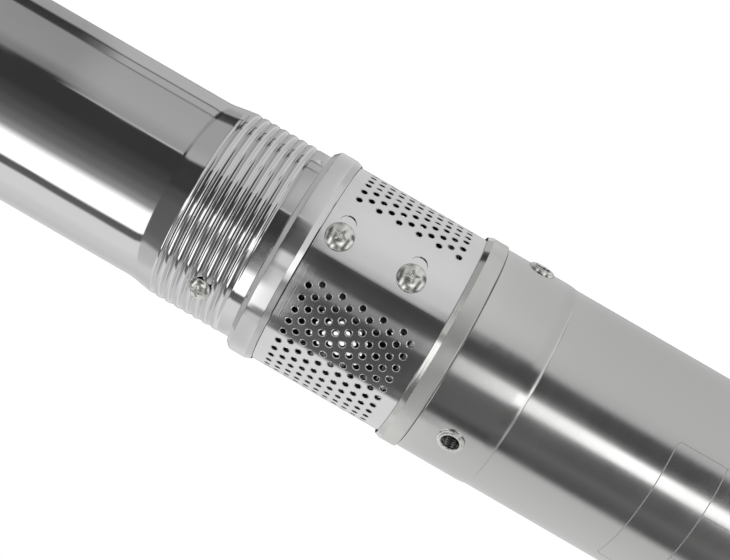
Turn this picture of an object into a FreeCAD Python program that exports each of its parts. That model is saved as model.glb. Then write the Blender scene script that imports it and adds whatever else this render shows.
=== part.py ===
import FreeCAD, Part
import math
import os
from FreeCAD import Vector

# Borehole submersible pump: a canned motor below, a suction body with a wrapped strainer,
# and a helical rotor turning in a rubber stator inside the barrel above.
# All sizes are in millimetres. Z runs up the pump axis from the underside of the bottom cap.
# Angles around the axis start at the side that faces -Y and grow towards +X.

# Clearances
fit_clearance = 0.05
running_clearance = 0.04
sleeve_clearance = 0.1
pin_play = 0.4
rod_play = 0.55

# Motor shell, with its upper end opened out into a socket
shell_diameter = 73.7
shell_wall = 1.0
shell_length = 256.5
socket_flare = 0.4
socket_length = 25.9
socket_step = 1.4

# Bottom cap, diaphragm and lower bearing bracket
cap_height = 12.0
cap_chamfer = 2.0
cap_spigot_length = 16.0
cap_floor = 7.0
cap_spigot_wall = 6.0
diaphragm_thickness = 2.0
lower_bracket_height = 16.0
oil_plug_diameter = 12.0
oil_plug_recess = 1.0

# Ball bearings and motor shaft
bearing_diameter = 32.0
bearing_width = 10.0
journal_diameter = 12.0
shaft_diameter = 16.0
shoulder_gap = 0.2

# Motor laminations and windings
winding_floor_gap = 14.0
winding_overhang = 18.0
winding_inner_diameter = 41.0
winding_shell_gap = 2.85
winding_slots = 24
stack_length = 95.0
rotor_core_diameter = 34.0
end_ring_diameter = 31.0
end_ring_height = 6.0
air_gap = 0.4

# Motor head: the ring above the shell, with a spigot in the socket
head_ring_lip = 0.8
head_ring_height = 7.7
head_spigot_length = 25.0
head_bore = 18.0
seal_diameter = 28.0
seal_height = 10.0
seal_depth = 12.0
slinger_diameter = 27.0
slinger_height = 5.0
slinger_lift = 1.5

# Threaded bosses (M6 rivet nuts) through the socket
boss_below_ring = 12.6
boss_angles = (-43.3, 76.7, 196.7)
boss_flange_diameter = 9.8
boss_flange_height = 1.0
boss_body_width = 8.0
boss_body_length = 8.0
boss_thread_minor = 5.0

# Suction body between the motor head and the barrel
strainer_height = 47.6
intake_wall = 9.1
intake_wall_setback = 2.45
intake_foot_height = 6.0
intake_window_top = 3.5
intake_column_angles = (19.0, 139.0, 259.0)
intake_column_span = 32.0
intake_ring_lip = 3.2
intake_ring_height = 9.8
ring_chamfer_height = 1.9
ring_chamfer_width = 1.5
foot_screw_angles = (79.0, 199.0, 319.0)
foot_screw_inset = 7.55
foot_screw_diameter = 5.0
foot_screw_length = 16.0
foot_screw_head_width = 8.0
foot_screw_head_height = 3.5

# Cable inlet on the rear: a rubber gland in the motor head and a notch in the ring above it
gland_angle = 222.0
gland_inset = 8.55
gland_width = 13.0
gland_depth = 6.0
gland_rise = 5.0
gland_slit_width = 8.5
gland_slit_depth = 3.2
foot_notch_margin = 0.6
cable_notch_width = 12.0
cable_notch_clearance = 0.3

# Strainer: perforated sheet wrapped once round, with an overlapping flap
sheet_thickness = 0.5
sheet_lap_gap = 0.05
sheet_clearance = 0.1
flap_edge_angle = 7.7
sheet_tuck_angle = 34.0
flap_root_angle = 58.0
joggle_angle = 4.0
perforation_width = 2.1
perforation_sides = 6
perforation_columns = 6
perforation_column_pitch = 7.2
perforation_row_pitch = 13.5
perforation_start_angle = -5.5
perforation_end_angle = -316.5
strainer_screw_angle = 19.0
strainer_screw_heights = (15.9, 41.3)
strainer_screw_diameter = 5.0
strainer_screw_length = 9.0
strainer_head_diameter = 9.5
strainer_head_height = 2.6
flap_slot_width = 5.6
flap_slot_reach = 8.2

# Barrel: thin tube whose ends are opened out over the threaded spigots
barrel_setback = 3.85
barrel_wall = 1.5
barrel_flare = 1.3
barrel_end_length = 31.7
barrel_taper_length = 3.5
barrel_spigot_length = 28.4
lock_screw_offset = 14.5
lock_screw_angles = (-44.2, 135.8)
lock_screw_diameter = 5.0
lock_screw_length = 6.5
lock_head_diameter = 9.0
lock_head_height = 2.6

# Discharge head
outlet_ring_height = 9.8
outlet_hex_setback = 14.5
outlet_hex_height = 30.2
outlet_thread_minor = 30.3
outlet_thread_depth = 20.0
outlet_bore = 26.0
outlet_chamber_wall = 6.25
outlet_chamber_depth = 22.0
lug_angles = (90.0, 270.0)
lug_width = 14.0
lug_thickness = 9.0
lug_eye_diameter = 8.0
lug_eye_height = 11.0
lug_inset = 0.3

# Helical rotor and the rubber stator around it
eccentricity = 2.5
rotor_diameter = 16.0
rotor_pitch = 48.0
stator_pitches = 3
lobe_clearance = 0.3
rotor_overrun = 3.0
slices_per_pitch = 12
rotor_sides = 16
sleeve_slack = 0.3
sleeve_wall = 2.0
rubber_inset = 7.9

# Drive rod and its two pin joints
coupling_diameter = 22.0
coupling_length = 28.0
coupling_lift = 14.0
shaft_in_coupling = 13.5
rod_diameter = 11.0
rod_end_gap = 1.0
rod_end_length = 6.5
rod_span = 98.0
pin_diameter = 5.0
pin_inset = 0.2
joint_head_diameter = 21.0
joint_head_length = 16.0
joint_head_lip = 2.5
joint_lip_diameter = 25.0
neck_diameter = 10.0
neck_length = 8.0
pin_sleeve_diameter = 26.0
pin_sleeve_length = 11.0

# Diameters that follow from the motor shell, so the whole pump grows or shrinks with it
socket_diameter = shell_diameter + 2 * socket_flare
head_ring_diameter = socket_diameter + 2 * head_ring_lip
winding_outer_diameter = shell_diameter - 2 * shell_wall - 2 * winding_shell_gap
intake_wall_diameter = head_ring_diameter - 2 * intake_wall_setback
intake_bore = intake_wall_diameter - 2 * intake_wall
foot_screw_circle = head_ring_diameter - 2 * foot_screw_inset
gland_circle = head_ring_diameter - 2 * gland_inset
barrel_diameter = shell_diameter - 2 * barrel_setback
barrel_end_diameter = barrel_diameter + 2 * barrel_flare
intake_ring_diameter = barrel_end_diameter + 2 * intake_ring_lip
outlet_hex_width = intake_ring_diameter - 2 * outlet_hex_setback

# Heights that follow from the sizes above
shell_bottom = cap_height
shell_top = shell_bottom + shell_length
socket_bottom = shell_top - socket_length
cap_top = cap_height + cap_spigot_length
diaphragm_top = cap_top + diaphragm_thickness
lower_bracket_top = diaphragm_top + lower_bracket_height
lower_bearing_bottom = lower_bracket_top - bearing_width
winding_bottom = lower_bracket_top + winding_floor_gap
stack_bottom = winding_bottom + winding_overhang
stack_top = stack_bottom + stack_length
head_bottom = shell_top - head_spigot_length
head_top = shell_top + head_ring_height
seal_bottom = head_top - seal_depth
boss_height = shell_top - boss_below_ring
strainer_top = head_top + strainer_height
intake_ring_top = strainer_top + intake_ring_height
barrel_bottom = intake_ring_top
lower_spigot_top = barrel_bottom + barrel_spigot_length
coupling_bottom = head_top + coupling_lift
coupling_top = coupling_bottom + coupling_length
shaft_top = coupling_bottom + shaft_in_coupling
lower_pin_height = shaft_top + rod_end_gap + rod_end_length
upper_pin_height = lower_pin_height + rod_span
joint_head_bottom = upper_pin_height - rod_end_length - joint_head_lip
joint_head_top = joint_head_bottom + joint_head_length + joint_head_lip
helix_bottom = joint_head_top + neck_length
stator_bottom = helix_bottom + rotor_overrun
stator_length = rotor_pitch * stator_pitches
stator_top = stator_bottom + stator_length
helix_top = stator_top + rotor_overrun
upper_spigot_bottom = stator_top + rubber_inset
barrel_top = upper_spigot_bottom + barrel_spigot_length
outlet_ring_top = barrel_top + outlet_ring_height
outlet_top = outlet_ring_top + outlet_hex_height

# Radii that follow from the sizes above
shell_inside = shell_diameter / 2 - shell_wall
socket_inside = socket_diameter / 2 - shell_wall
barrel_inside = barrel_diameter / 2 - barrel_wall
barrel_end_inside = barrel_end_diameter / 2 - barrel_wall
barrel_spigot_radius = barrel_end_inside - fit_clearance
sleeve_radius = barrel_inside - sleeve_slack
sleeve_inside = sleeve_radius - sleeve_wall
sheet_inside = intake_wall_diameter / 2 + sheet_clearance
flap_inside = sheet_inside + sheet_thickness + sheet_lap_gap
flap_outside = flap_inside + sheet_thickness
rod_socket_radius = rod_diameter / 2 + rod_play
rod_tilt = math.degrees(math.atan2(eccentricity, rod_span))

AXIS = Vector(0, 0, 1)
rotor_axis = Vector(eccentricity, 0, 0)


def facing(angle):
    """Unit vector that points outwards at an angle around the pump."""
    turn = math.radians(angle)
    return Vector(math.sin(turn), -math.cos(turn), 0)


def at(radius, angle, height):
    return facing(angle) * radius + Vector(0, 0, height)


def turned(profile):
    """Solid of revolution about Z from (radius, height) points."""
    corners = [Vector(radius, 0, height) for radius, height in profile]
    face = Part.Face(Part.makePolygon(corners + corners[:1]))
    return face.revolve(Vector(0, 0, 0), AXIS, 360)


def ring(outer, inner, bottom, top):
    return turned([(inner, bottom), (outer, bottom), (outer, top), (inner, top)])


def disc(radius, bottom, top):
    return Part.makeCylinder(radius, top - bottom, Vector(0, 0, bottom), AXIS)


def spoke(radius, start, end, angle, height):
    """Cylinder that lies along a spoke, from one distance from the axis to another."""
    return Part.makeCylinder(radius, end - start, at(start, angle, height), facing(angle))


def polygon_prism(width, sides, base, direction, length, turn=0.0):
    """Prism of equal sides, with its width measured across the flats."""
    corner = width / 2 / math.cos(math.pi / sides)
    steps = [2 * math.pi * index / sides + turn for index in range(sides)]
    corners = [Vector(corner * math.cos(step), corner * math.sin(step), 0) for step in steps]
    prism = Part.Face(Part.makePolygon(corners + corners[:1])).extrude(Vector(0, 0, length))
    prism.Placement = FreeCAD.Placement(base, FreeCAD.Rotation(AXIS, direction))
    return prism


def spoke_prism(width, sides, start, end, angle, height):
    return polygon_prism(width, sides, at(start, angle, height), facing(angle), end - start)


def sector(inner, outer, first_angle, last_angle, bottom, top):
    """Part of a ring between two angles."""
    corners = [at(inner, first_angle, bottom), at(outer, first_angle, bottom),
               at(outer, first_angle, top), at(inner, first_angle, top)]
    face = Part.Face(Part.makePolygon(corners + corners[:1]))
    return face.revolve(Vector(0, 0, 0), AXIS, last_angle - first_angle)


def arc(radius, first_angle, last_angle):
    """Arc around the pump axis in the plane z = 0."""
    middle = (first_angle + last_angle) / 2
    points = [at(radius, angle, 0) for angle in (first_angle, middle, last_angle)]
    return Part.Arc(*points).toShape()


def obround(width, depth, circle, angle, bottom, top):
    """Upright plug with round ends, its long side along the tangent."""
    reach = (width - depth) / 2
    corners = [Vector(-reach, -depth / 2, 0), Vector(reach, -depth / 2, 0),
               Vector(reach, depth / 2, 0), Vector(-reach, depth / 2, 0)]
    edges = [Part.makeLine(corners[0], corners[1]),
             Part.Arc(corners[1], Vector(reach + depth / 2, 0, 0), corners[2]).toShape(),
             Part.makeLine(corners[2], corners[3]),
             Part.Arc(corners[3], Vector(-reach - depth / 2, 0, 0), corners[0]).toShape()]
    plug = Part.Face(Part.Wire(edges)).extrude(Vector(0, 0, top - bottom))
    plug.translate(Vector(0, -circle / 2, bottom))
    plug.rotate(Vector(0, 0, 0), AXIS, angle)
    return plug


def together(solids):
    return Part.makeCompound(solids)


# Motor

def bottom_cap():
    outer = shell_diameter / 2
    spigot = shell_inside - fit_clearance
    pocket = spigot - cap_spigot_wall
    plug_hole = oil_plug_diameter / 2 + fit_clearance
    return turned([(plug_hole, 0), (outer - cap_chamfer, 0), (outer, cap_chamfer),
                   (outer, cap_height), (spigot, cap_height), (spigot, cap_top),
                   (pocket, cap_top), (pocket, cap_floor), (plug_hole, cap_floor)])


def oil_plug():
    return disc(oil_plug_diameter / 2, oil_plug_recess, cap_floor)


def diaphragm():
    return disc(shell_inside - fit_clearance, cap_top, diaphragm_top)


def lower_bracket():
    outer = shell_inside - fit_clearance
    seat = bearing_diameter / 2 + fit_clearance
    body = disc(outer, diaphragm_top, lower_bracket_top)
    return body.cut(disc(seat, lower_bearing_bottom, lower_bracket_top))


def bearing(bottom):
    bore = journal_diameter / 2 + running_clearance
    return ring(bearing_diameter / 2, bore, bottom, bottom + bearing_width)


def motor_bearings():
    return together([bearing(lower_bearing_bottom), bearing(head_bottom)])


def motor_shaft():
    journal = journal_diameter / 2
    body = shaft_diameter / 2
    shoulders = (lower_bracket_top + shoulder_gap, head_bottom - shoulder_gap)
    return turned([(0, lower_bearing_bottom + shoulder_gap),
                   (journal, lower_bearing_bottom + shoulder_gap),
                   (journal, shoulders[0]), (body, shoulders[0]),
                   (body, shoulders[1]), (journal, shoulders[1]),
                   (journal, shaft_top), (0, shaft_top)])


def rotor_core():
    outer = rotor_core_diameter / 2
    end_ring = end_ring_diameter / 2
    bore = shaft_diameter / 2 + fit_clearance / 2
    ends = (stack_bottom - end_ring_height, stack_top + end_ring_height)
    return turned([(bore, ends[0]), (end_ring, ends[0]), (end_ring, stack_bottom),
                   (outer, stack_bottom), (outer, stack_top), (end_ring, stack_top),
                   (end_ring, ends[1]), (bore, ends[1])])


def stator_core():
    bore = rotor_core_diameter / 2 + air_gap
    return ring(shell_inside - fit_clearance, bore, stack_bottom, stack_top)


def windings():
    """End turns of the coils, one flat for each slot of the core."""
    bundles = []
    for bottom in (winding_bottom, stack_top):
        base = Vector(0, 0, bottom)
        outer = polygon_prism(winding_outer_diameter, winding_slots, base, AXIS, winding_overhang)
        inner = polygon_prism(winding_inner_diameter, winding_slots, base, AXIS, winding_overhang)
        bundles.append(outer.cut(inner))
    return together(bundles)


def boss_bodies(margin=0.0):
    """Six-sided bodies of the rivet nuts, or their holes when a margin is given."""
    outer = socket_diameter / 2
    width = boss_body_width + 2 * margin
    start = outer - boss_body_length - 4 * margin
    return [spoke_prism(width, 6, start, outer + 2 * margin, angle, boss_height)
            for angle in boss_angles]


def motor_shell():
    outer = shell_diameter / 2
    socket = socket_diameter / 2
    shell = turned([(shell_inside, shell_bottom), (outer, shell_bottom),
                    (outer, socket_bottom - socket_step), (socket, socket_bottom),
                    (socket, shell_top), (socket_inside, shell_top),
                    (socket_inside, socket_bottom),
                    (shell_inside, socket_bottom - socket_step)])
    return shell.cut(together(boss_bodies(fit_clearance)))


def threaded_bosses():
    outer = socket_diameter / 2
    bosses = []
    for body, angle in zip(boss_bodies(), boss_angles):
        end = outer + boss_flange_height
        flange = spoke(boss_flange_diameter / 2, outer, end, angle, boss_height)
        bore = spoke(boss_thread_minor / 2, outer - boss_body_length, end, angle, boss_height)
        bosses.append(body.fuse(flange).cut(bore))
    return together(bosses)


def foot_screw_shanks(margin=0.0):
    top = head_top + intake_foot_height
    bottom = top - foot_screw_length - 4 * margin
    shanks = []
    for angle in foot_screw_angles:
        base = at(foot_screw_circle / 2, angle, bottom)
        shanks.append(Part.makeCylinder(foot_screw_diameter / 2 + margin, top - bottom, base))
    return shanks


def motor_head():
    spigot = socket_inside - fit_clearance
    ring_radius = head_ring_diameter / 2
    seat = bearing_diameter / 2 + fit_clearance
    seal = seal_diameter / 2 + fit_clearance
    seat_top = head_bottom + bearing_width
    head = turned([(seat, head_bottom), (spigot, head_bottom), (spigot, shell_top),
                   (ring_radius, shell_top), (ring_radius, head_top), (seal, head_top),
                   (seal, seal_bottom), (head_bore / 2, seal_bottom),
                   (head_bore / 2, seat_top), (seat, seat_top)])
    gland_hole = obround(gland_width + 2 * fit_clearance, gland_depth + 2 * fit_clearance,
                         gland_circle, gland_angle, head_bottom, head_top)
    holes = boss_bodies(fit_clearance) + foot_screw_shanks(fit_clearance) + [gland_hole]
    return head.cut(together(holes))


def shaft_seal():
    bore = journal_diameter / 2 + running_clearance
    return ring(seal_diameter / 2, bore, seal_bottom, seal_bottom + seal_height)


def sand_slinger():
    bore = journal_diameter / 2 + fit_clearance / 2
    bottom = head_top + slinger_lift
    return ring(slinger_diameter / 2, bore, bottom, bottom + slinger_height)


def cable_gland():
    top = head_top + gland_rise
    plug = obround(gland_width, gland_depth, gland_circle, gland_angle, head_bottom, top)
    slit = obround(gland_slit_width, gland_slit_depth, gland_circle, gland_angle,
                   head_bottom, top)
    return plug.cut(slit)


# Suction body and strainer

def intake_windows():
    """Openings between the columns, through which the water enters."""
    bottom = head_top + intake_foot_height
    top = strainer_top - intake_window_top
    half = intake_column_span / 2
    windows = []
    for angle in intake_column_angles:
        windows.append(sector(intake_bore / 4, intake_wall_diameter, angle + half,
                              angle + 120 - half, bottom, top))
    return windows


def foot_notch():
    """Room in the foot for the cable gland, open to the bore."""
    width = gland_width + 2 * foot_notch_margin
    depth = gland_depth + 2 * foot_notch_margin
    outline = obround(width, depth, gland_circle, gland_angle, head_top,
                      head_top + intake_foot_height)
    slot = Part.makeBox(width - depth, gland_circle / 2, intake_foot_height,
                        Vector(-(width - depth) / 2, -gland_circle / 2, head_top))
    slot.rotate(Vector(0, 0, 0), AXIS, gland_angle)
    return outline.fuse(slot)


def cable_notch():
    """Notch through the upper ring where the cable leaves along the barrel."""
    inner = barrel_end_diameter / 2 + cable_notch_clearance
    bottom = strainer_top - intake_window_top
    notch = Part.makeBox(cable_notch_width, intake_ring_diameter, intake_ring_top - bottom,
                         Vector(-cable_notch_width / 2, -inner - intake_ring_diameter, bottom))
    notch.rotate(Vector(0, 0, 0), AXIS, gland_angle)
    return notch


def strainer_screw_places():
    return [head_top + height for height in strainer_screw_heights]


def strainer_screw_holes():
    radius = strainer_screw_diameter / 2 + fit_clearance
    start = flap_outside - strainer_screw_length - 2 * fit_clearance
    return [spoke(radius, start, flap_outside, strainer_screw_angle, height)
            for height in strainer_screw_places()]


def lock_screw_holes(height, spigot_inside):
    radius = lock_screw_diameter / 2 + fit_clearance
    return [spoke(radius, spigot_inside - 1, barrel_end_diameter, angle, height)
            for angle in lock_screw_angles]


def intake_body():
    bore = intake_bore / 2
    wall = intake_wall_diameter / 2
    rim = intake_ring_diameter / 2
    spigot = barrel_spigot_radius
    body = turned([(bore, head_top), (wall, head_top), (wall, strainer_top),
                   (rim, strainer_top), (rim, intake_ring_top - ring_chamfer_height),
                   (rim - ring_chamfer_width, intake_ring_top), (spigot, intake_ring_top),
                   (spigot, lower_spigot_top), (bore, lower_spigot_top)])
    cuts = intake_windows() + [foot_notch(), cable_notch()]
    cuts += foot_screw_shanks(fit_clearance) + strainer_screw_holes()
    cuts += lock_screw_holes(barrel_bottom + lock_screw_offset, bore)
    return body.cut(together(cuts))


def foot_screws():
    screws = []
    for shank, angle in zip(foot_screw_shanks(), foot_screw_angles):
        base = at(foot_screw_circle / 2, angle, head_top + intake_foot_height)
        head = polygon_prism(foot_screw_head_width, 6, base, AXIS, foot_screw_head_height)
        screws.append(shank.fuse(head))
    return together(screws)


def wrapped_sheet():
    """Sheet seen from above: once round, a joggle outwards, then the flap over its start."""
    main_end = flap_root_angle + joggle_angle - 360
    root, edge = flap_root_angle, flap_edge_angle
    main_outside = sheet_inside + sheet_thickness
    edges = [arc(sheet_inside, sheet_tuck_angle, main_end),
             Part.makeLine(at(sheet_inside, main_end, 0), at(flap_inside, root, 0)),
             arc(flap_inside, root, edge),
             Part.makeLine(at(flap_inside, edge, 0), at(flap_outside, edge, 0)),
             arc(flap_outside, edge, root),
             Part.makeLine(at(flap_outside, root, 0), at(main_outside, main_end, 0)),
             arc(main_outside, main_end, sheet_tuck_angle),
             Part.makeLine(at(main_outside, sheet_tuck_angle, 0),
                           at(sheet_inside, sheet_tuck_angle, 0))]
    sheet = Part.Face(Part.Wire(edges)).extrude(Vector(0, 0, strainer_height))
    sheet.translate(Vector(0, 0, head_top))
    return sheet


def perforations():
    """Staggered holes over the sheet, clear of the flap and its screws."""
    start = sheet_inside - 1
    end = flap_outside + 1
    row_step = math.degrees(perforation_row_pitch / sheet_inside)
    middle = head_top + strainer_height / 2
    holes = []
    for column in range(perforation_columns):
        height = middle + (column - (perforation_columns - 1) / 2) * perforation_column_pitch
        angle = perforation_start_angle - (column % 2) * row_step / 2
        while angle > perforation_end_angle:
            holes.append(spoke_prism(perforation_width, perforation_sides, start, end,
                                     angle, height))
            angle -= row_step
    return holes


def flap_slots():
    """Long slots in the flap, and a round hole in the layer beneath, for each screw."""
    radius = flap_slot_width / 2
    reach = math.degrees((flap_slot_reach - radius) / flap_outside)
    lap = flap_inside - sheet_lap_gap / 2
    cuts = []
    for height in strainer_screw_places():
        angle = strainer_screw_angle
        for end_angle in (angle, angle + reach):
            cuts.append(spoke(radius, lap, flap_outside + 1, end_angle, height))
        cuts.append(sector(lap, flap_outside + 1, angle, angle + reach,
                           height - radius, height + radius))
        cuts.append(spoke(radius, sheet_inside - 1, lap, angle, height))
    return cuts


def strainer():
    sheet = wrapped_sheet().cut(together(perforations()))
    for slot in flap_slots():
        sheet = sheet.cut(slot)
    return sheet


def strainer_screws():
    screws = []
    for height in strainer_screw_places():
        start = flap_outside - strainer_screw_length
        end = flap_outside + strainer_head_height
        shank = spoke(strainer_screw_diameter / 2, start, end, strainer_screw_angle, height)
        head = spoke(strainer_head_diameter / 2, flap_outside, end, strainer_screw_angle, height)
        screws.append(shank.fuse(head))
    return together(screws)


# Barrel and discharge head

def pump_barrel():
    plain, end = barrel_diameter / 2, barrel_end_diameter / 2
    inside, end_inside = barrel_inside, barrel_end_inside
    flare = barrel_end_length
    taper = barrel_end_length + barrel_taper_length
    tube = turned([(end_inside, barrel_bottom), (end, barrel_bottom),
                   (end, barrel_bottom + flare), (plain, barrel_bottom + taper),
                   (plain, barrel_top - taper), (end, barrel_top - flare),
                   (end, barrel_top), (end_inside, barrel_top),
                   (end_inside, barrel_top - flare), (inside, barrel_top - taper),
                   (inside, barrel_bottom + taper), (end_inside, barrel_bottom + flare)])
    holes = lock_screw_holes(barrel_bottom + lock_screw_offset, barrel_inside)
    holes += lock_screw_holes(barrel_top - lock_screw_offset, barrel_inside)
    return tube.cut(together(holes))


def barrel_lock_screws():
    seat = barrel_end_diameter / 2 + fit_clearance
    screws = []
    for height in (barrel_bottom + lock_screw_offset, barrel_top - lock_screw_offset):
        for angle in lock_screw_angles:
            shank = spoke(lock_screw_diameter / 2, seat - lock_screw_length, seat, angle, height)
            head = spoke(lock_head_diameter / 2, seat, seat + lock_head_height, angle, height)
            screws.append(shank.fuse(head))
    return together(screws)


def rope_lug(angle):
    """Upright ear with a round top and an eye along the tangent."""
    middle = intake_ring_diameter / 2 - lug_inset - lug_width / 2
    eye_height = outlet_ring_top + lug_eye_height
    tangent = facing(angle + 90)
    centre = at(middle, angle, eye_height) - tangent * (lug_thickness / 2)
    top = Part.makeCylinder(lug_width / 2, lug_thickness, centre, tangent)
    stem = Part.makeBox(lug_thickness, lug_width, lug_eye_height,
                        Vector(-lug_thickness / 2, -middle - lug_width / 2, outlet_ring_top))
    stem.rotate(Vector(0, 0, 0), AXIS, angle)
    eye = Part.makeCylinder(lug_eye_diameter / 2, lug_thickness, centre, tangent)
    return top.fuse(stem).cut(eye)


def discharge_head():
    spigot = barrel_spigot_radius
    rim = intake_ring_diameter / 2
    chamber = spigot - outlet_chamber_wall
    chamber_top = upper_spigot_bottom + outlet_chamber_depth
    thread = outlet_thread_minor / 2
    thread_bottom = outlet_top - outlet_thread_depth
    flange = turned([(0, upper_spigot_bottom), (spigot, upper_spigot_bottom),
                     (spigot, barrel_top), (rim, barrel_top),
                     (rim, outlet_ring_top - ring_chamfer_height),
                     (rim - ring_chamfer_width, outlet_ring_top), (0, outlet_ring_top)])
    hexagon = polygon_prism(outlet_hex_width, 6, Vector(0, 0, outlet_ring_top), AXIS,
                            outlet_hex_height, math.pi / 6)
    body = flange.fuse([hexagon] + [rope_lug(angle) for angle in lug_angles])
    passage = turned([(0, upper_spigot_bottom), (chamber, upper_spigot_bottom),
                      (chamber, chamber_top), (outlet_bore / 2, chamber_top),
                      (outlet_bore / 2, thread_bottom), (thread, thread_bottom),
                      (thread, outlet_top), (0, outlet_top)])
    holes = lock_screw_holes(barrel_top - lock_screw_offset, chamber)
    return body.cut(together([passage] + holes)).removeSplitter()


# Pumping element

def stator_sleeve():
    return ring(sleeve_radius, sleeve_inside, lower_spigot_top, upper_spigot_bottom)


def rotor_section(height):
    """Round section of the rotor, its centre one eccentricity off the rotor's own axis."""
    turn = 2 * math.pi * (height - stator_bottom) / rotor_pitch
    centre = Vector(math.cos(turn), math.sin(turn), 0) * eccentricity
    radius = rotor_diameter / 2
    steps = [2 * math.pi * index / rotor_sides for index in range(rotor_sides)]
    return [centre + Vector(radius * math.cos(step), radius * math.sin(step), height)
            for step in steps]


def stator_section(height):
    """Slot with round ends; it turns once while the rotor makes two pitches."""
    half_sides = rotor_sides // 2
    turn = math.pi * (height - stator_bottom) / rotor_pitch
    radius = (rotor_diameter / 2 + lobe_clearance) / math.cos(math.pi / rotor_sides)
    points = []
    for side in (1, -1):
        for index in range(half_sides + 1):
            step = math.pi * (index / half_sides - 0.5)
            x = side * (2 * eccentricity + radius * math.cos(step))
            y = side * radius * math.sin(step)
            points.append(Vector(x * math.cos(turn) - y * math.sin(turn),
                                 x * math.sin(turn) + y * math.cos(turn), height))
    return points


def helical_solid(section, bottom, top):
    """Solid through equal slices of a section, with flat triangles between the slices."""
    count = round((top - bottom) / rotor_pitch * slices_per_pitch)
    rows = [section(bottom + (top - bottom) * index / count) for index in range(count + 1)]
    faces = [Part.Face(Part.makePolygon(row + row[:1])) for row in (rows[0], rows[-1])]
    for lower, upper in zip(rows, rows[1:]):
        for index in range(len(lower)):
            after = (index + 1) % len(lower)
            for triangle in ((lower[index], lower[after], upper[index]),
                             (lower[after], upper[after], upper[index])):
                corners = list(triangle)
                faces.append(Part.Face(Part.makePolygon(corners + corners[:1])))
    return Part.makeSolid(Part.makeShell(faces))


def stator_rubber():
    block = disc(sleeve_inside - fit_clearance, stator_bottom, stator_top)
    return block.cut(helical_solid(stator_section, stator_bottom, stator_top))


def pin_hole(height, centre):
    """Hole right across a joint head or coupling for its cross pin."""
    radius = pin_diameter / 2 + fit_clearance
    reach = joint_lip_diameter
    base = centre + Vector(0, -reach, height)
    return Part.makeCylinder(radius, 2 * reach, base, Vector(0, 1, 0))


def cross_pin(height, centre, head_diameter):
    half = head_diameter / 2 - pin_inset
    base = centre + Vector(0, -half, height)
    return Part.makeCylinder(pin_diameter / 2, 2 * half, base, Vector(0, 1, 0))


def screw_rotor():
    head = joint_head_diameter / 2
    lip = joint_lip_diameter / 2
    lip_top = joint_head_bottom + joint_head_lip
    socket_top = upper_pin_height + rod_end_length + rod_end_gap
    joint_head = turned([(rod_socket_radius, joint_head_bottom), (lip, joint_head_bottom),
                         (lip, lip_top), (head, lip_top), (head, joint_head_top),
                         (neck_diameter / 2, joint_head_top),
                         (neck_diameter / 2, helix_bottom), (0, helix_bottom),
                         (0, socket_top), (rod_socket_radius, socket_top)])
    joint_head = joint_head.cut(pin_hole(upper_pin_height, Vector(0, 0, 0)))
    rotor = helical_solid(rotor_section, helix_bottom, helix_top).fuse(joint_head)
    rotor.translate(rotor_axis)
    return rotor


def rotor_pin():
    return cross_pin(upper_pin_height, rotor_axis, joint_head_diameter)


def pin_sleeve():
    """Loose ring that stands on the lip of the joint head and keeps the pin in."""
    bottom = joint_head_bottom + joint_head_lip + sleeve_clearance
    inner = joint_head_diameter / 2 + sleeve_clearance
    sleeve = ring(pin_sleeve_diameter / 2, inner, bottom, bottom + pin_sleeve_length)
    sleeve.translate(rotor_axis)
    return sleeve


def drive_rod():
    """Rod with an eye at each end, leaning over by the eccentricity between its pins."""
    radius = rod_diameter / 2
    eye = pin_diameter / 2 + pin_play
    rod = disc(radius, -rod_end_length, rod_span + rod_end_length)
    for height in (0, rod_span):
        base = Vector(0, -rod_diameter, height)
        rod = rod.cut(Part.makeCylinder(eye, 2 * rod_diameter, base, Vector(0, 1, 0)))
    rod.rotate(Vector(0, 0, 0), Vector(0, 1, 0), rod_tilt)
    rod.translate(Vector(0, 0, lower_pin_height))
    return rod


def shaft_coupling():
    shaft_bore = journal_diameter / 2 + fit_clearance / 2
    body = turned([(shaft_bore, coupling_bottom), (coupling_diameter / 2, coupling_bottom),
                   (coupling_diameter / 2, coupling_top), (rod_socket_radius, coupling_top),
                   (rod_socket_radius, shaft_top), (shaft_bore, shaft_top)])
    return body.cut(pin_hole(lower_pin_height, Vector(0, 0, 0)))


def coupling_pin():
    return cross_pin(lower_pin_height, Vector(0, 0, 0), coupling_diameter)


subparts = (bottom_cap, oil_plug, diaphragm, lower_bracket, motor_bearings, motor_shaft,
            rotor_core, stator_core, windings, motor_shell, threaded_bosses, motor_head,
            shaft_seal, sand_slinger, cable_gland, intake_body, foot_screws, strainer,
            strainer_screws, pump_barrel, barrel_lock_screws, discharge_head, stator_sleeve,
            stator_rubber, screw_rotor, rotor_pin, pin_sleeve, drive_rod, shaft_coupling,
            coupling_pin)

for subpart in subparts:
    shape = subpart()
    shape.exportStep("parts/" + subpart.__name__ + ".step")
    print(subpart.__name__, len(shape.Solids), "solids", round(shape.Volume, 1), shape.isValid())
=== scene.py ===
"""Looks of the borehole pump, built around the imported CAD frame."""

import math

import bmesh
import bpy
import numpy as np
from mathutils import Matrix, Vector
from mathutils.geometry import delaunay_2d_cdt


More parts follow.
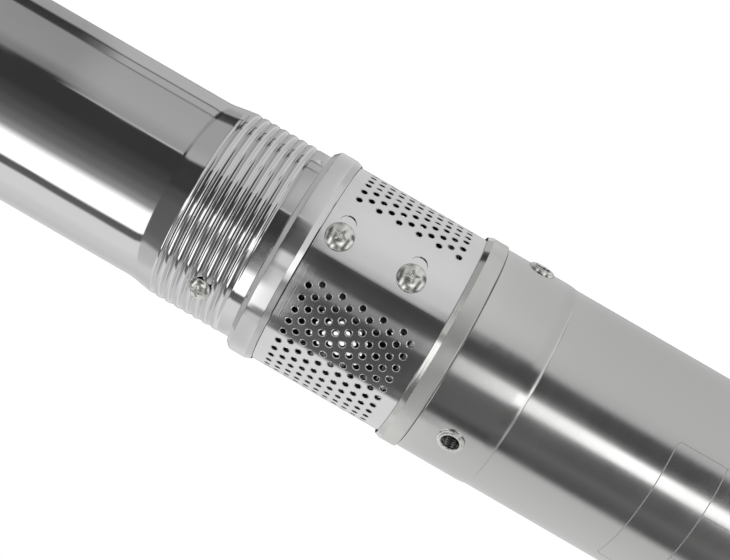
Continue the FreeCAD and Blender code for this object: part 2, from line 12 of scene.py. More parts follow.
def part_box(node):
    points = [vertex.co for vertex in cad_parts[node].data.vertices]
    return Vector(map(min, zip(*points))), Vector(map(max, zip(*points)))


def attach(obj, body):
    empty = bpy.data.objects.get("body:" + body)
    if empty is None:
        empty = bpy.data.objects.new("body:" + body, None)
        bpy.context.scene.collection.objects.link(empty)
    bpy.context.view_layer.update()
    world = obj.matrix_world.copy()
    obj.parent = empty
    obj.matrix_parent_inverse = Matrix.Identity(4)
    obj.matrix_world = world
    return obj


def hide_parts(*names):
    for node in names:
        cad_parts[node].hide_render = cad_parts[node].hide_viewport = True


bl_info = {
    "name": "Borehole Pump",
    "version": (1, 0, 0),
    "blender": (4, 5, 0),
    "location": "3D View > Sidebar > Pump",
    "description": "Builds the visible pieces and finishes of a borehole pump around its CAD frame",
    "category": "Object",
}

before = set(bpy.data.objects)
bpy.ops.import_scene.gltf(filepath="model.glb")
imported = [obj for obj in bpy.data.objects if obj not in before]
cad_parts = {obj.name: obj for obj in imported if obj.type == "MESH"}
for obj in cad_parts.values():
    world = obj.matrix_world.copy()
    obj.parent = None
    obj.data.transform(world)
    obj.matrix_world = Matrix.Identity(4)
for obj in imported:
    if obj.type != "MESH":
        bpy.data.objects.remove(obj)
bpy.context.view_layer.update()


# Sizes, in millimetres. Angles start at the side facing -Y and grow towards +X.

def level(node, end):
    """Height of the bottom (0) or top (1) of a CAD node."""
    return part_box(node)[end].z * 1000


def levels_inside(node, margin):
    """Heights a margin above the bottom and below the top of a CAD node."""
    return level(node, 0) + margin, level(node, 1) - margin


CAP_TOP = level("motor_shell", 0)
SHELL_TOP = level("motor_shell", 1)
HEAD_TOP = level("strainer", 0)
STRAINER_TOP = level("strainer", 1)
BARREL_BOTTOM = level("pump_barrel", 0)
BARREL_TOP = level("pump_barrel", 1)
SPIGOT_TOP = level("intake_body", 1)
OUTLET_TOP = level("discharge_head", 1)
BOSS_HEIGHT = (level("threaded_bosses", 0) + level("threaded_bosses", 1)) / 2
STRAINER_SCREW_HEIGHTS = levels_inside("strainer_screws", 4.75)
LOCK_SCREW_HEIGHTS = levels_inside("barrel_lock_screws", 4.5)
BOSS_ANGLES = (-43.3, 76.7, 196.7)
LOCK_SCREW_ANGLES = (-44.2, 135.8)
STRAINER_SCREW_ANGLE = 19.0
CABLE_ANGLE = 222.0
COLUMN_ANGLES = (19.0, 139.0, 259.0)
SHELL_RADIUS = 36.85
SOCKET_RADIUS = 37.25
SOCKET_BORE = 36.25
HEAD_RADIUS = 38.05
SHEET_RADIUS = 36.2
FLAP_RADIUS = 36.75
RING_RADIUS = 37.5
SPIGOT_RADIUS = 32.75
BARREL_END_RADIUS = 34.3


def mm(value):
    return value / 1000


def linear(hex_colour):
    """Turns an sRGB hex colour into the linear colour that a shader takes."""
    values = [int(hex_colour[index:index + 2], 16) / 255 for index in (1, 3, 5)]
    return [v / 12.92 if v <= 0.04045 else ((v + 0.055) / 1.055) ** 2.4 for v in values]


# Settings

def length(name, description, default):
    return bpy.props.FloatProperty(name=name, description=description, default=mm(default),
                                   min=0.0, precision=5, unit="LENGTH", subtype="DISTANCE")


def colour(name, description, hex_colour):
    return bpy.props.FloatVectorProperty(name=name, description=description, size=3, min=0.0,
                                         max=1.0, default=linear(hex_colour), subtype="COLOR")


class PumpSizes(bpy.types.PropertyGroup):
    thread_pitch: length("Thread pitch", "Distance between the crests of the rolled thread", 3.5)
    crest_rise: length("Crest rise", "Height of the rolled crests over the tube", 0.2)
    groove_depth: length("Groove depth", "Depth of the rolled grooves below the tube", 0.3)
    groove_width: length("Groove width", "Width of the grooves at 0.37 of their depth", 1.15)
    hole_diameter: length("Hole diameter", "Diameter of the strainer's holes", 2.05)
    column_pitch: length("Column pitch", "Distance between columns of holes along the pump", 3.6)
    rim_rise: length("Rim rise", "Height of the raised rim that the punch leaves", 0.07)
    edge_round: length("Edge rounding", "Rounding of the turned rings' edges", 0.4)
    step_length: length("Step length", "Length over which the shell is opened out", 4.6)
    recess_depth: length("Recess depth", "Depth of the cross recess in the screws", 1.3)
    boss_thread_pitch: length("Boss thread pitch", "Pitch of the thread in the side bosses", 1.0)
    outlet_thread_pitch: length("Outlet thread pitch", "Pitch of the pipe thread", 2.309)
    line_width: length("Plate line width", "Width of the etched lines of the data plate", 0.35)


class PumpColours(bpy.types.PropertyGroup):
    polished: colour("Polished stainless", "Barrel, strainer and suction ring", "#DCDCDC")
    brushed: colour("Brushed stainless", "Motor shell", "#D6D6D5")
    turned: colour("Turned stainless", "Suction body, discharge head and caps", "#DADAD7")
    blasted: colour("Blasted stainless", "Motor head", "#DFDFDC")
    plated: colour("Nickel plate", "Screws, bosses and the oil plug", "#ECECE8")
    etched: colour("Etched lines", "Frame of the data plate", "#D0D0CE")
    rubber: colour("Rubber", "Gland, seal, diaphragm and stator", "#1B1B1C")
    copper: colour("Copper wire", "Motor windings", "#B8683C")
    # Laminations and bearings are dark steel; on the bosses' inner threads this darker grey is
    # painted shade in the bores.
    dark_steel: colour("Dark steel", "Laminations, bearings and inner threads", "#8C8C8E")
    # Painted shade: the holes and the inside of the strainer get this dark grey so that they read
    # as shaded.
    hole_and_inside_shade: colour("Sheared stainless", "Holes and inside of the strainer", "#545456")
    floor: colour("Floor", "Studio floor", "#F4F4F4")


# Geometry, in millimetres until a piece is made

UP = Vector((0.0, 0.0, 1.0))


def facing(angle):
    turn = math.radians(angle)
    return Vector((math.sin(turn), -math.cos(turn), 0.0))


def at(radius, angle, height):
    return facing(angle) * radius + UP * height


def round_axis(radius, degrees, z):
    """Array of points, or of directions, about the pump axis."""
    angle = np.radians(degrees)
    return np.stack(np.broadcast_arrays(radius * np.sin(angle), -radius * np.cos(angle), z),
                    axis=-1)


def circle(radius, height, count):
    """Ring of points across local Z; radius is a number or a function of the angle."""
    points = []
    for k in range(count):
        angle = 2 * math.pi * k / count
        reach = radius(angle) if callable(radius) else radius
        points.append((reach * math.cos(angle), reach * math.sin(angle), height))
    return points


def hexagon(flat, angle):
    """Distance from the middle of a hexagon to its side at an angle; flat is the shortest."""
    return flat / math.cos((angle + math.pi / 6) % (math.pi / 3) - math.pi / 6)


def arc(x, y, radius, first, sweep, count):
    """Points along an arc about (x, y); the angles are in quarter turns."""
    quarter = math.pi / 2
    turns = [quarter * first + quarter * sweep * k / count for k in range(count + 1)]
    return [(x + radius * math.cos(turn), y + radius * math.sin(turn)) for turn in turns]


def smooth_step(value):
    value = np.clip(value, 0.0, 1.0)
    return value * value * (3 - 2 * value)


def soften(corners, closed=True):
    """Outline of (radius, height) points with an arc at each (radius, height, rounding) corner."""
    outline = []
    steps = 5
    count = len(corners)
    for index, (x, y, rounding) in enumerate(corners):
        corner = Vector((x, y))
        if rounding == 0 or (not closed and index in (0, count - 1)):
            outline.append((x, y))
            continue
        before = Vector(corners[index - 1][:2]) - corner
        after = Vector(corners[(index + 1) % count][:2]) - corner
        half = before.angle(after) / 2
        cut = min(rounding / math.tan(half), before.length * 0.45, after.length * 0.45)
        start = corner + before.normalized() * cut
        end = corner + after.normalized() * cut
        away = (before.normalized() + after.normalized()).normalized()
        centre = corner + away * (cut / math.cos(half))
        first = math.atan2(start.y - centre.y, start.x - centre.x)
        last = math.atan2(end.y - centre.y, end.x - centre.x)
        turn = (last - first + math.pi) % (2 * math.pi) - math.pi
        radius = (start - centre).length
        # Points close beside the arc keep the shading of the straight faces flat.
        outline.append(tuple(start + before.normalized() * min(0.04, before.length * 0.04)))
        for step in range(steps + 1):
            angle = first + turn * step / steps
            outline.append((centre.x + radius * math.cos(angle),
                            centre.y + radius * math.sin(angle)))
        outline.append(tuple(end + after.normalized() * min(0.04, after.length * 0.04)))
    return outline


class Shape:
    """Points and faces that are gathered in millimetres and made into one mesh."""

    def __init__(self):
        self.points = []
        self.faces = []

    def add(self, points, faces):
        base = len(self.points)
        self.points.extend(points)
        self.faces.extend([tuple(index + base for index in face) for face in faces])
        return base

    def grid(self, rows, wrap_rows=False, wrap_columns=False):
        """Quads over rows of equally many points."""
        height, width = len(rows), len(rows[0])
        faces = []
        for i in range(height if wrap_rows else height - 1):
            here, above = i * width, (i + 1) % height * width
            for j in range(width if wrap_columns else width - 1):
                beside = (j + 1) % width
                faces.append((here + j, here + beside, above + beside, above + j))
        return self.add([tuple(p) for row in rows for p in row], faces)

    def lathe(self, profile, steps=192, start=0.0, sweep=360.0, closed=True, relief=None):
        """Turns a profile about the pump axis; relief(angle, height) adds to the radius."""
        whole = sweep >= 360
        angles = start + np.arange(steps + (0 if whole else 1)) * sweep / steps
        profile = np.array(profile, float)
        phi, z = np.meshgrid(angles, profile[:, 1])
        radius = np.repeat(profile[:, :1], len(angles), axis=1)
        if relief is not None:
            radius = radius + relief(phi, z)
        base = self.grid(round_axis(radius, phi, z).tolist(), closed, whole)
        if not whole and closed:
            width, count = len(angles), len(profile)
            self.faces.append(tuple(base + i * width for i in range(count)))
            self.faces.append(tuple(base + i * width + width - 1 for i in reversed(range(count))))
        return base

    def place(self, base, matrix):
        """Moves the points from an index on by a matrix."""
        for index in range(base, len(self.points)):
            self.points[index] = tuple(matrix @ Vector(self.points[index]))

    def open_bosses(self, radius):
        """Takes out the faces at a radius that lie inside a boss, under its flange."""
        spots = [np.array(at(radius, angle, BOSS_HEIGHT)) for angle in BOSS_ANGLES]
        points = np.array(self.points)
        self.faces = [face for face in self.faces if len(face) > 4 or min(
            np.linalg.norm(points[list(face)].mean(axis=0) - spot) for spot in spots) > 3.7]


def spoke_matrix(radius, angle, height):
    """Local Z points outwards along a spoke, local Y up the pump."""
    out = facing(angle)
    matrix = Matrix((UP.cross(out), UP, out)).transposed().to_4x4()
    matrix.translation = at(radius, angle, height)
    return matrix


def make_piece(name, shape, finish, replaces=(), sharp=32.0, normals=None):
    """Turns a shape into an object that rides on the housing."""
    mesh = bpy.data.meshes.new(name)
    mesh.from_pydata((np.array(shape.points) / 1000).tolist(), [], shape.faces)
    if normals is None:
        work = bmesh.new()
        work.from_mesh(mesh)
        bmesh.ops.remove_doubles(work, verts=work.verts, dist=1e-7)
        bmesh.ops.recalc_face_normals(work, faces=work.faces)
        work.to_mesh(mesh)
        work.free()
    mesh.shade_smooth()
    if normals is None:
        mesh.set_sharp_from_angle(angle=math.radians(sharp))
    else:
        mesh.normals_split_custom_set_from_vertices(normals)
    mesh.materials.append(finish_of(finish))
    thing = bpy.data.objects.new(name, mesh)
    bpy.context.scene.collection.objects.link(thing)
    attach(thing, "housing")
    if replaces:
        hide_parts(*replaces)


# Materials

def add_node(tree, kind, settings=None, links=None):
    """Adds a node; settings are its attributes or input values, links feed its inputs."""
    node = tree.nodes.new(kind)
    for key, value in (settings or {}).items():
        if isinstance(key, str) and hasattr(node, key):
            setattr(node, key, value)
        else:
            node.inputs[key].default_value = value
    for key, socket in (links or {}).items():
        tree.links.new(socket, node.inputs[key])
    return node


def calculate(operation, first, second=None):
    """Result of a math node; the second operand is a socket or a number."""
    settings, links = {"operation": operation}, {0: first}
    if isinstance(second, float):
        settings[1] = second
    elif second is not None:
        links[1] = second
    return add_node(first.id_data, "ShaderNodeMath", settings, links).outputs["Value"]


def remap(value, source, target=(0.0, 1.0), **settings):
    """Maps one range of a socket's values onto another."""
    return add_node(value.id_data, "ShaderNodeMapRange", {
        "From Min": source[0], "From Max": source[1], "To Min": target[0],
        "To Max": target[1], **settings}, {"Value": value}).outputs["Result"]


def pattern(place, kind, **settings):
    """Procedural texture over a vector socket."""
    return add_node(place.id_data, kind, settings, {"Vector": place})


def noise(place, scale, detail, **settings):
    """Noise with a scale of 1 / size in millimetres."""
    return pattern(place, "ShaderNodeTexNoise", Scale=scale, Detail=detail,
                   **settings).outputs["Fac"]


def around_axis(place, along, across):
    """Coordinates that run slowly round the axis and quickly along it, for turned grain."""
    tree = place.id_data
    parts = add_node(tree, "ShaderNodeSeparateXYZ", links={"Vector": place}).outputs
    turn = calculate("ARCTAN2", parts["Y"], parts["X"])
    radius = add_node(tree, "ShaderNodeVectorMath", {"operation": "LENGTH"}, {0: place})
    return add_node(tree, "ShaderNodeCombineXYZ", links={
        "X": calculate("MULTIPLY", turn, 36.0 * along),
        "Y": calculate("MULTIPLY", parts["Z"], across),
        "Z": calculate("MULTIPLY", radius.outputs["Value"], across * 0.5),
    }).outputs["Vector"]


def vary_gloss(shader, factor, low, high):
    """Lets the middle range of a pattern drive the roughness."""
    rough = remap(factor, (0.3, 0.7), (low, high))
    shader.id_data.links.new(rough, shader.inputs["Roughness"])


def emboss(shader, height, strength, distance):
    """Lets a pattern bump the surface by up to a distance in metres."""
    bump = add_node(shader.id_data, "ShaderNodeBump", {"Strength": strength, "Distance": distance},
                    {"Height": height})
    shader.id_data.links.new(bump.outputs["Normal"], shader.inputs["Normal"])


def polished_stainless(shader, place):
    """Stainless tube, mirror polished on a buffing wheel.

    The eye gets crisp reflections that wander a little, and faint wipe marks that soften the
    gloss in patches.
    """
    # Wipe marks about 18 mm across.
    vary_gloss(shader, noise(place, 1 / 18, 4.0, Distortion=0.6), 0.035, 0.085)
    # Slight waves left by drawing the tube, about 30 mm long.
    emboss(shader, noise(place, 1 / 30, 1.0), 0.3, 0.0006)


def rolled_sheet(shader, place):
    """Bright-annealed stainless sheet, rolled thin and wrapped.

    The eye gets a mirror that is a shade softer than the tube, with fine rolling grain.
    """
    # Wipe marks about 12 mm across.
    vary_gloss(shader, noise(place, 1 / 12, 5.0), 0.05, 0.11)
    # Rolling grain 0.25 mm wide, drawn coarser than the real 0.05 mm so that it shows.
    emboss(shader, noise(around_axis(place, 0.05, 4.0), 1.0, 3.0), 0.12, 0.00002)


def sheared_stainless_painted_shade(shader, place):
    """Stainless where a punch has torn through it, and the unpolished inside of the sheet.

    The eye gets a dull dark grey. The dark base colour is painted shade, so that the holes and the
    inside of the sheet read as shaded; the dull gloss is the torn metal's own.
    """
    vary_gloss(shader, noise(place, 7.0, 3.0), 0.4, 0.6)


def brushed_stainless(shader, place):
    """Stainless motor tube, belt polished while it turned.

    The eye gets streaks that are smeared along the pump, fine rings of grain, and a few
    small pits that catch the light.
    """
    shader.inputs["Anisotropic"].default_value = 0.35
    # Belt marks 0.2 mm wide and about 20 mm long round the tube.
    grain = noise(around_axis(place, 0.05, 5.0), 1.0, 4.0)
    # Handling marks about 15 mm across.
    cloud = noise(place, 1 / 15, 6.0, Roughness=0.6)
    mixed = add_node(place.id_data, "ShaderNodeMix", {"Factor": 0.35}, {2: cloud, 3: grain})
    vary_gloss(shader, mixed.outputs[0], 0.09, 0.18)
    # Pits about 9 mm apart.
    pits = pattern(place, "ShaderNodeTexVoronoi", Scale=1 / 9).outputs["Distance"]
    pits = remap(pits, (0.0, 0.03), (-2.0, 0.0))
    emboss(shader, calculate("ADD", grain, pits), 0.2, 0.00003)


def turned_stainless(shader, place):
    """Cast stainless, faced and turned in a lathe.

    The eye gets bright metal with fine tool rings and a few duller patches in the casting.
    """
    vary_gloss(shader, noise(place, 1 / 6, 6.0), 0.07, 0.12)
    # Tool rings 0.3 mm apart, drawn coarser than the real 0.1 mm feed.
    emboss(shader, noise(around_axis(place, 0.02, 3.0), 1.0, 2.0), 0.25, 0.00003)


def blasted_stainless(shader, place):
    """Cast stainless, turned and then blasted with fine beads.

    The eye gets an even, soft grey that hardly mirrors, with a faint bead grain.
    """
    vary_gloss(shader, noise(place, 1 / 8, 6.0), 0.32, 0.46)
    # Bead marks 0.2 mm across.
    emboss(shader, noise(place, 5.0, 1.0), 0.2, 0.00002)


def plated_steel(shader, place):
    """Steel screws, cold headed and nickel plated.

    The eye gets small bright heads with soft, slightly uneven reflections.
    """
    dents = noise(place, 1.2, 3.0)
    vary_gloss(shader, dents, 0.2, 0.32)
    emboss(shader, dents, 0.06, 0.00004)


def etched_stainless(shader, place):
    """Stainless bitten by acid through a stencil.

    The eye gets flat pale lines with a fine frost that never mirrors the room.
    """
    vary_gloss(shader, noise(place, 6.0, 2.0), 0.42, 0.6)


def nitrile_rubber(shader, place):
    """Nitrile rubber, compression moulded.

    The eye gets a near-black with a dull bloom and the fine grain of the mould.
    """
    vary_gloss(shader, noise(place, 1 / 4, 5.0), 0.52, 0.75)
    emboss(shader, noise(place, 4.0, 2.0), 0.3, 0.00005)


def enamelled_copper(shader, place):
    """Copper wire in clear enamel, wound and laced.

    The eye gets rows of round wire under a warm varnish.
    """
    shader.inputs["Coat Weight"].default_value = 0.6
    shader.inputs["Coat Roughness"].default_value = 0.12
    # Wire 0.7 mm thick, seen as ribs up the bundle.
    wires = pattern(place, "ShaderNodeTexWave", bands_direction="Z", Scale=0.45, Distortion=2.0,
                    Detail=2.0, **{"Detail Scale": 0.4}).outputs["Fac"]
    emboss(shader, wires, 0.8, 0.0003)
    vary_gloss(shader, wires, 0.28, 0.45)


def stacked_laminations(shader, place):
    """Silicon steel sheets, punched, stacked and oiled.

    The eye gets a dark steel ruled with the edges of half-millimetre sheets.
    """
    # Sheets are 0.5 mm thick: one band of the wave for each.
    sheets = pattern(place, "ShaderNodeTexWave", bands_direction="Z", Scale=0.63).outputs["Fac"]
    emboss(shader, sheets, 0.6, 0.0001)
    vary_gloss(shader, sheets, 0.36, 0.5)


def ground_steel_and_bore_shade(shader, place):
    """Bearing and shaft steel, hardened and ground.

    The eye gets a bright, even grey with fine grinding rings. In the bosses' threaded bores its
    darker grey is painted shade.
    """
    rings = noise(around_axis(place, 0.03, 6.0), 1.0, 3.0)
    emboss(shader, rings, 0.2, 0.00002)
    vary_gloss(shader, rings, 0.18, 0.28)


# What makes each material, the colour it takes, metallic and plain roughness.
FINISHES = {
    "mirror_polished_stainless": (polished_stainless, "polished", 1.0, 0.05),
    "bright_annealed_sheet": (rolled_sheet, "polished", 1.0, 0.08),
    "sheared_stainless_painted_shade": (sheared_stainless_painted_shade, "hole_and_inside_shade", 1.0, 0.5),
    "belt_polished_stainless": (brushed_stainless, "brushed", 1.0, 0.16),
    "turned_cast_stainless": (turned_stainless, "turned", 1.0, 0.1),
    "blasted_cast_stainless": (blasted_stainless, "blasted", 1.0, 0.5),
    "nickel_plated_steel": (plated_steel, "plated", 1.0, 0.34),
    "acid_etched_stainless": (etched_stainless, "etched", 1.0, 0.5),
    "moulded_nitrile_rubber": (nitrile_rubber, "rubber", 0.0, 0.62),
    "enamelled_copper_wire": (enamelled_copper, "copper", 1.0, 0.32),
    "stacked_silicon_steel": (stacked_laminations, "dark_steel", 1.0, 0.42),
    "ground_steel_and_bore_shade": (ground_steel_and_bore_shade, "dark_steel", 1.0, 0.22),
}


def finish_of(name):
    """The named material, made on first use from the scene's colours."""
    if name in bpy.data.materials:
        return bpy.data.materials[name]
    maker, field, metallic, roughness = FINISHES[name]
    base = (*getattr(bpy.context.scene.pump_colours, field), 1.0)
    material = bpy.data.materials.new(name)
    material.use_nodes = True
    material.diffuse_color = base
    tree = material.node_tree
    tree.nodes.clear()
    shader = add_node(tree, "ShaderNodeBsdfPrincipled",
                      {"Base Color": base, "Metallic": metallic, "Roughness": roughness})
    add_node(tree, "ShaderNodeOutputMaterial", links={"Surface": shader.outputs["BSDF"]})
    place = add_node(tree, "ShaderNodeTexCoord").outputs["Object"]
    scaled = add_node(tree, "ShaderNodeVectorMath", {"operation": "SCALE", "Scale": 1000.0},
                      {0: place})
    maker(shader, scaled.outputs["Vector"])
    return material


# Pieces

class PUMP_OT_barrel(bpy.types.Operator):
    """Build the polished barrel with a knuckle thread rolled into each opened-out end"""
    bl_idname = "pump.barrel"
    bl_label = "Barrel"

    plain = 33.0
    wall = 1.5
    # The thread's first groove from the tube's end, its turns, and the angle where it starts.
    first_turn = 5.7
    turns = 7.15
    run_out = 60.0
    # Where the opened-out end starts to narrow, from the tube's end, and over what length.
    flare_start = 30.2
    flare_length = 9.4

    def execute(self, context):
        shape = Shape()
        low, high, end = BARREL_BOTTOM, BARREL_TOP, BARREL_END_RADIUS
        # Rows lie close together along the threads.
        lip = [0.0, 0.04, 0.1, 0.2, 0.35, 0.6, 1.2, 2.0]
        fine = np.concatenate([lip, np.arange(3.0, 40.0, 0.14)])
        heights = np.concatenate([low + fine, np.linspace(low + 41, high - 41, 24),
                                  high - fine[::-1]])
        phi, z = np.meshgrid(np.arange(288) * 360 / 288, heights)
        small = 1e-3
        along = self.surface(context, phi + small, z) - self.surface(context, phi - small, z)
        rising = self.surface(context, phi, z + small) - self.surface(context, phi, z - small)
        normals = np.cross(along, rising)
        normals /= np.linalg.norm(normals, axis=2)[:, :, None]
        shape.grid(self.surface(context, phi, z).tolist(), wrap_columns=True)
        inner = [(end - 0.3, low), (end - self.wall, low)]
        inner += [(self.outline(z) - self.wall, z) for z in np.linspace(low, high, 60)[1:-1]]
        inner += [(end - self.wall, high), (end - 0.3, high)]
        base = shape.lathe(inner[::-1], 128, closed=False)
        inside = np.array(shape.points[base:]) * (1, 1, 0)
        inside /= -np.linalg.norm(inside, axis=1)[:, None]
        make_piece("barrel_tube", shape, "mirror_polished_stainless",
                   ["pump_barrel"], normals=normals.reshape(-1, 3).tolist() + inside.tolist())
        return {"FINISHED"}

    def outline(self, z):
        """Radius of the tube without its threads, opened out at both ends."""
        inwards = np.minimum(z - BARREL_BOTTOM, BARREL_TOP - z)
        # The flare is a cone. Its narrow end is eased in over a third of its length.
        wide_end, narrow_end = 0.05, 0.35
        total = 1 - (wide_end + narrow_end) / 2
        share = np.clip((inwards - self.flare_start) / self.flare_length, 0, 1)
        flare = np.where(share < wide_end, share ** 2 / (2 * wide_end), share - wide_end / 2)
        flare = np.where(share > 1 - narrow_end,
                         total - (1 - share) ** 2 / (2 * narrow_end), flare) / total
        lip = 1 - np.sqrt(1 - (1 - np.clip(inwards / 0.3, 0, 1)) ** 2)
        return BARREL_END_RADIUS + (self.plain - BARREL_END_RADIUS) * flare - 0.3 * lip

    def surface(self, context, phi, z):
        """Points of the outside; crests and grooves follow a helix and fade at its ends."""
        sizes = context.scene.pump_sizes
        pitch = sizes.thread_pitch * 1000
        lower = z < (BARREL_BOTTOM + BARREL_TOP) / 2
        inwards = np.where(lower, z - BARREL_BOTTOM, BARREL_TOP - z)
        around = np.mod(phi + 180, 360) - 180
        turned = np.where(lower, 1.0, -1.0) * (around - self.run_out) / 360
        run = (inwards - self.first_turn) / pitch - turned

        def part(offset, start):
            """Distance in turns from the nearest groove or crest, and how far it has faded in."""
            count = np.round(run + offset)
            along = count - offset + turned
            fade = smooth_step((along - start) / 0.35) * smooth_step((self.turns - along) / 0.4)
            return run + offset - count, fade

        aside, fade = part(0.5, -0.4)
        radius = self.outline(z) + sizes.crest_rise * 1000 * np.cos(math.pi * aside) ** 2 * fade
        aside, fade = part(0.0, -0.38)
        share = aside * pitch / (sizes.groove_width * 500)
        radius -= sizes.groove_depth * 1000 * np.exp(-share ** 2) * fade
        # Dimple at 61 degrees, 1.9 mm from the end, where the thread roller was lifted off.
        aside = np.radians(around - 61) * BARREL_END_RADIUS
        radius -= 0.15 * np.exp(-(aside ** 2 + (inwards - 1.9) ** 2) / 0.5)
        return round_axis(radius, phi, z)


# The strainer's sheet is laid out flat: x runs round the pump in millimetres, z up it.
DEGREE = math.radians(1) * SHEET_RADIUS
SHEET_START = 34.0 * DEGREE
SHEET_STOP = (7.7 - 360) * DEGREE
SHEET_WALL = 0.5
EDGE_DROP = 0.06
HOLE_SIDES = 24
SLOT_RADIUS = 2.8
SLOT_REACH = 5.4


def bend(x, z, height):
    """Wraps flat places round the pump; the sheet steps up where it laps over itself."""
    turn = x / DEGREE
    step = smooth_step((-298.0 - turn) / 4.0)
    return round_axis(SHEET_RADIUS + (FLAP_RADIUS - SHEET_RADIUS) * step + height, turn, z)


def lean(x, across, upwards):
    """Directions with a part round the pump and a part up it."""
    return (across[:, None] * round_axis(1.0, x / DEGREE + 90, 0.0)
            + upwards[:, None] * np.array(UP))


def sheet_outline(inset):
    """Outline of the flat sheet, with rounded corners on the flap."""
    x0, x1 = SHEET_STOP + inset, SHEET_START - inset
    z0, z1 = HEAD_TOP + 0.05 + inset, STRAINER_TOP - 0.05 - inset
    corner = 1.3 - inset
    points = arc(x0 + corner, z1 - corner, corner, 1, 1, 8)
    points += arc(x0 + corner, z0 + corner, corner, 2, 1, 8)
    points += [(x, z0) for x in np.linspace(x0 + corner, x1, 190)[1:]]
    points += [(x1, z) for z in np.linspace(z0, z1, 12)[1:-1]]
    points += [(x, z1) for x in np.linspace(x1, x0 + corner, 190)[:-1]]
    return points


def slot_outline(x, z, radius):
    """Obround that reaches from the screw's place towards the flap's root."""
    return arc(x + SLOT_REACH, z, radius, -1, 2, 14) + arc(x, z, radius, 1, 2, 14)


